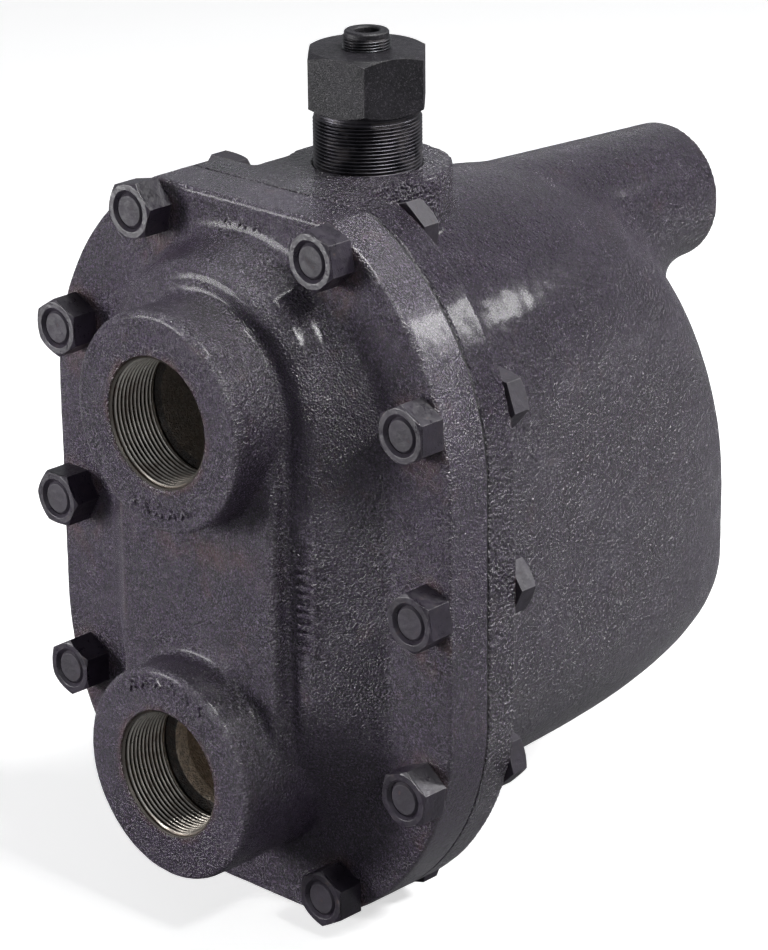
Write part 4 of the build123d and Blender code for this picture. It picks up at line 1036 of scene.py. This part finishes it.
def make_rounded(cad_node, name, width, material, body="root", ends=None):
    """Copy of a CAD node with its sharp edges rounded, and its front ends tapered if asked."""
    made = bmesh.new()
    made.from_mesh(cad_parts[cad_node].data)
    bmesh.ops.remove_doubles(made, verts=made.verts, dist=1e-6)
    bmesh.ops.dissolve_limit(made, angle_limit=math.radians(0.6), verts=made.verts, edges=made.edges)
    if ends is not None:
        taper_ends(made, *ends)
    sharp = [e for e in made.edges if len(e.link_faces) == 2 and e.calc_face_angle(0.0) > math.radians(24)]
    bmesh.ops.bevel(made, geom=sharp, offset=width * MM, segments=2, profile=0.5, affect="EDGES", clamp_overlap=True)
    broad = [f for f in made.faces if len(f.verts) > 10]
    bmesh.ops.inset_individual(made, faces=broad, thickness=0.25 * MM, use_even_offset=True)
    mesh = bpy.data.meshes.new(name)
    made.to_mesh(mesh)
    made.free()
    mesh.shade_smooth()
    mesh.materials.append(material)
    obj = link(bpy.data.objects.new(name, mesh))
    weighted = obj.modifiers.new("weighted", "WEIGHTED_NORMAL")
    weighted.keep_sharp = True
    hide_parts(cad_node)
    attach(obj, body)
    return obj


def make_spring(cad_node, name, material):
    """The breaker's spring, a copy of its CAD mesh that stays on the retainer."""
    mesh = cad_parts[cad_node].data.copy()
    mesh.name = name
    mesh.materials.clear()
    mesh.materials.append(material)
    spring = link(bpy.data.objects.new(name, mesh))
    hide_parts(cad_node)
    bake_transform(spring)


# ---------------------------------------------------------------- the trap

# Pieces that keep their CAD mesh: colour, roughness, and the axis that the metal's lines run across
INSIDE = {
    "breaker_disc": ((0.56, 0.56, 0.57), 0.24, 2),
    "breaker_retainer": ((0.54, 0.54, 0.55), 0.32, 0),
    "main_valve_seat": ((0.50, 0.50, 0.52), 0.26, 1),
    "seat_gasket": ((0.72, 0.42, 0.28), 0.34, 1),
    "valve_bracket": ((0.48, 0.48, 0.49), 0.42, 0),
    "bracket_screws": ((0.58, 0.58, 0.58), 0.30, 1),
    "lever_pivot_pin": ((0.62, 0.62, 0.62), 0.22, 0),
    "pivot_clips": ((0.40, 0.40, 0.41), 0.36, 0),
    "float_lever": ((0.52, 0.52, 0.54), 0.36, 0),
    "float_ball": ((0.60, 0.60, 0.62), 0.22, 1),
    "float_nut": ((0.56, 0.56, 0.56), 0.30, 1),
    "valve_plunger": ((0.56, 0.56, 0.57), 0.22, 1),
    "drive_pin": ((0.62, 0.62, 0.62), 0.22, 0),
    "air_vent_seat": ((0.50, 0.50, 0.52), 0.28, 1),
    "air_vent_frame": ((0.54, 0.54, 0.54), 0.36, 2),
    "air_vent_screws": ((0.58, 0.58, 0.58), 0.30, 1),
    "air_vent_capsule": ((0.62, 0.60, 0.56), 0.30, 1),
    "air_vent_valve": ((0.56, 0.56, 0.57), 0.20, 1),
    "inlet_baffle": ((0.50, 0.50, 0.50), 0.40, 2),
    "baffle_screws": ((0.58, 0.58, 0.58), 0.30, 1),
}


def dress(cad_node, material):
    """Gives a CAD node its material."""
    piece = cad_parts[cad_node]
    if not piece.material_slots:
        piece.data.materials.append(material)
    for slot in piece.material_slots:
        slot.link = "OBJECT"
        slot.material = material


make_camera()
make_world()
make_floor()
soft_light("key", (0.52, 0.68, 0.50), 1.6, (0.32, 0.32), 19.5)
soft_light("overhead", (0.28, 0.16, 0.95), 1.6, (0.30, 0.30), 10.0)
soft_light("upper_right", (0.66, -0.07, 0.75), 1.5, (0.18, 0.18), 5.5)
soft_light("left", (-0.62, -0.78, 0.03), 1.7, (0.45, 0.6), 31.0)
soft_light("right_back", (0.95, 0.30, 0.0), 1.6, (0.9, 0.9), 1.0)
soft_light("front", (0.40, -0.82, 0.30), 1.9, (0.5, 0.5), 1.2)
soft_light("shoulder_glint", (0.30, 0.10, 0.95), 1.55, (0.34, 0.34), 32.0, glint=True)
soft_light("rim_glint", (0.66, -0.07, 0.75), 1.45, (0.26, 0.26), 13.0, glint=True)

make_cover()
make_body()
make_marks()
make_port_threads()
make_breaker_threads()
make_rounded("cover_nuts", "nuts", 0.5, enamel_on_steel("enamel_nuts", 5.0), ends=(0.9, 7.5, 9.0, 9.5))
make_rounded("cover_bolts", "bolts", 0.4, enamel_on_steel("enamel_bolts", 9.0, 0.24), ends=(1.4, 6.0, 9.0, 6.7))
make_rounded("breaker_body", "breaker_hexagon", 0.6, matt_black("black_breaker"))
make_rounded("breaker_seat_bush", "breaker_nipple", 0.25, matt_black("black_nipple"))
make_rounded("rear_port_plug", "rear_plug", 0.5, bare_iron("iron_plug"))
make_spring("breaker_spring", "spring_coil", worked_metal("metal_spring", (0.60, 0.60, 0.60), 0.30, 2, 43.0))
dress("cover_gasket", gasket_sheet("gasket"))
for seed, (cad_node, (colour, roughness, grain_axis)) in enumerate(INSIDE.items()):
    dress(cad_node, worked_metal("metal_" + cad_node, colour, roughness, grain_axis, seed))

scene = bpy.context.scene
scene.view_settings.view_transform = "Standard"
scene.view_settings.look = "None"
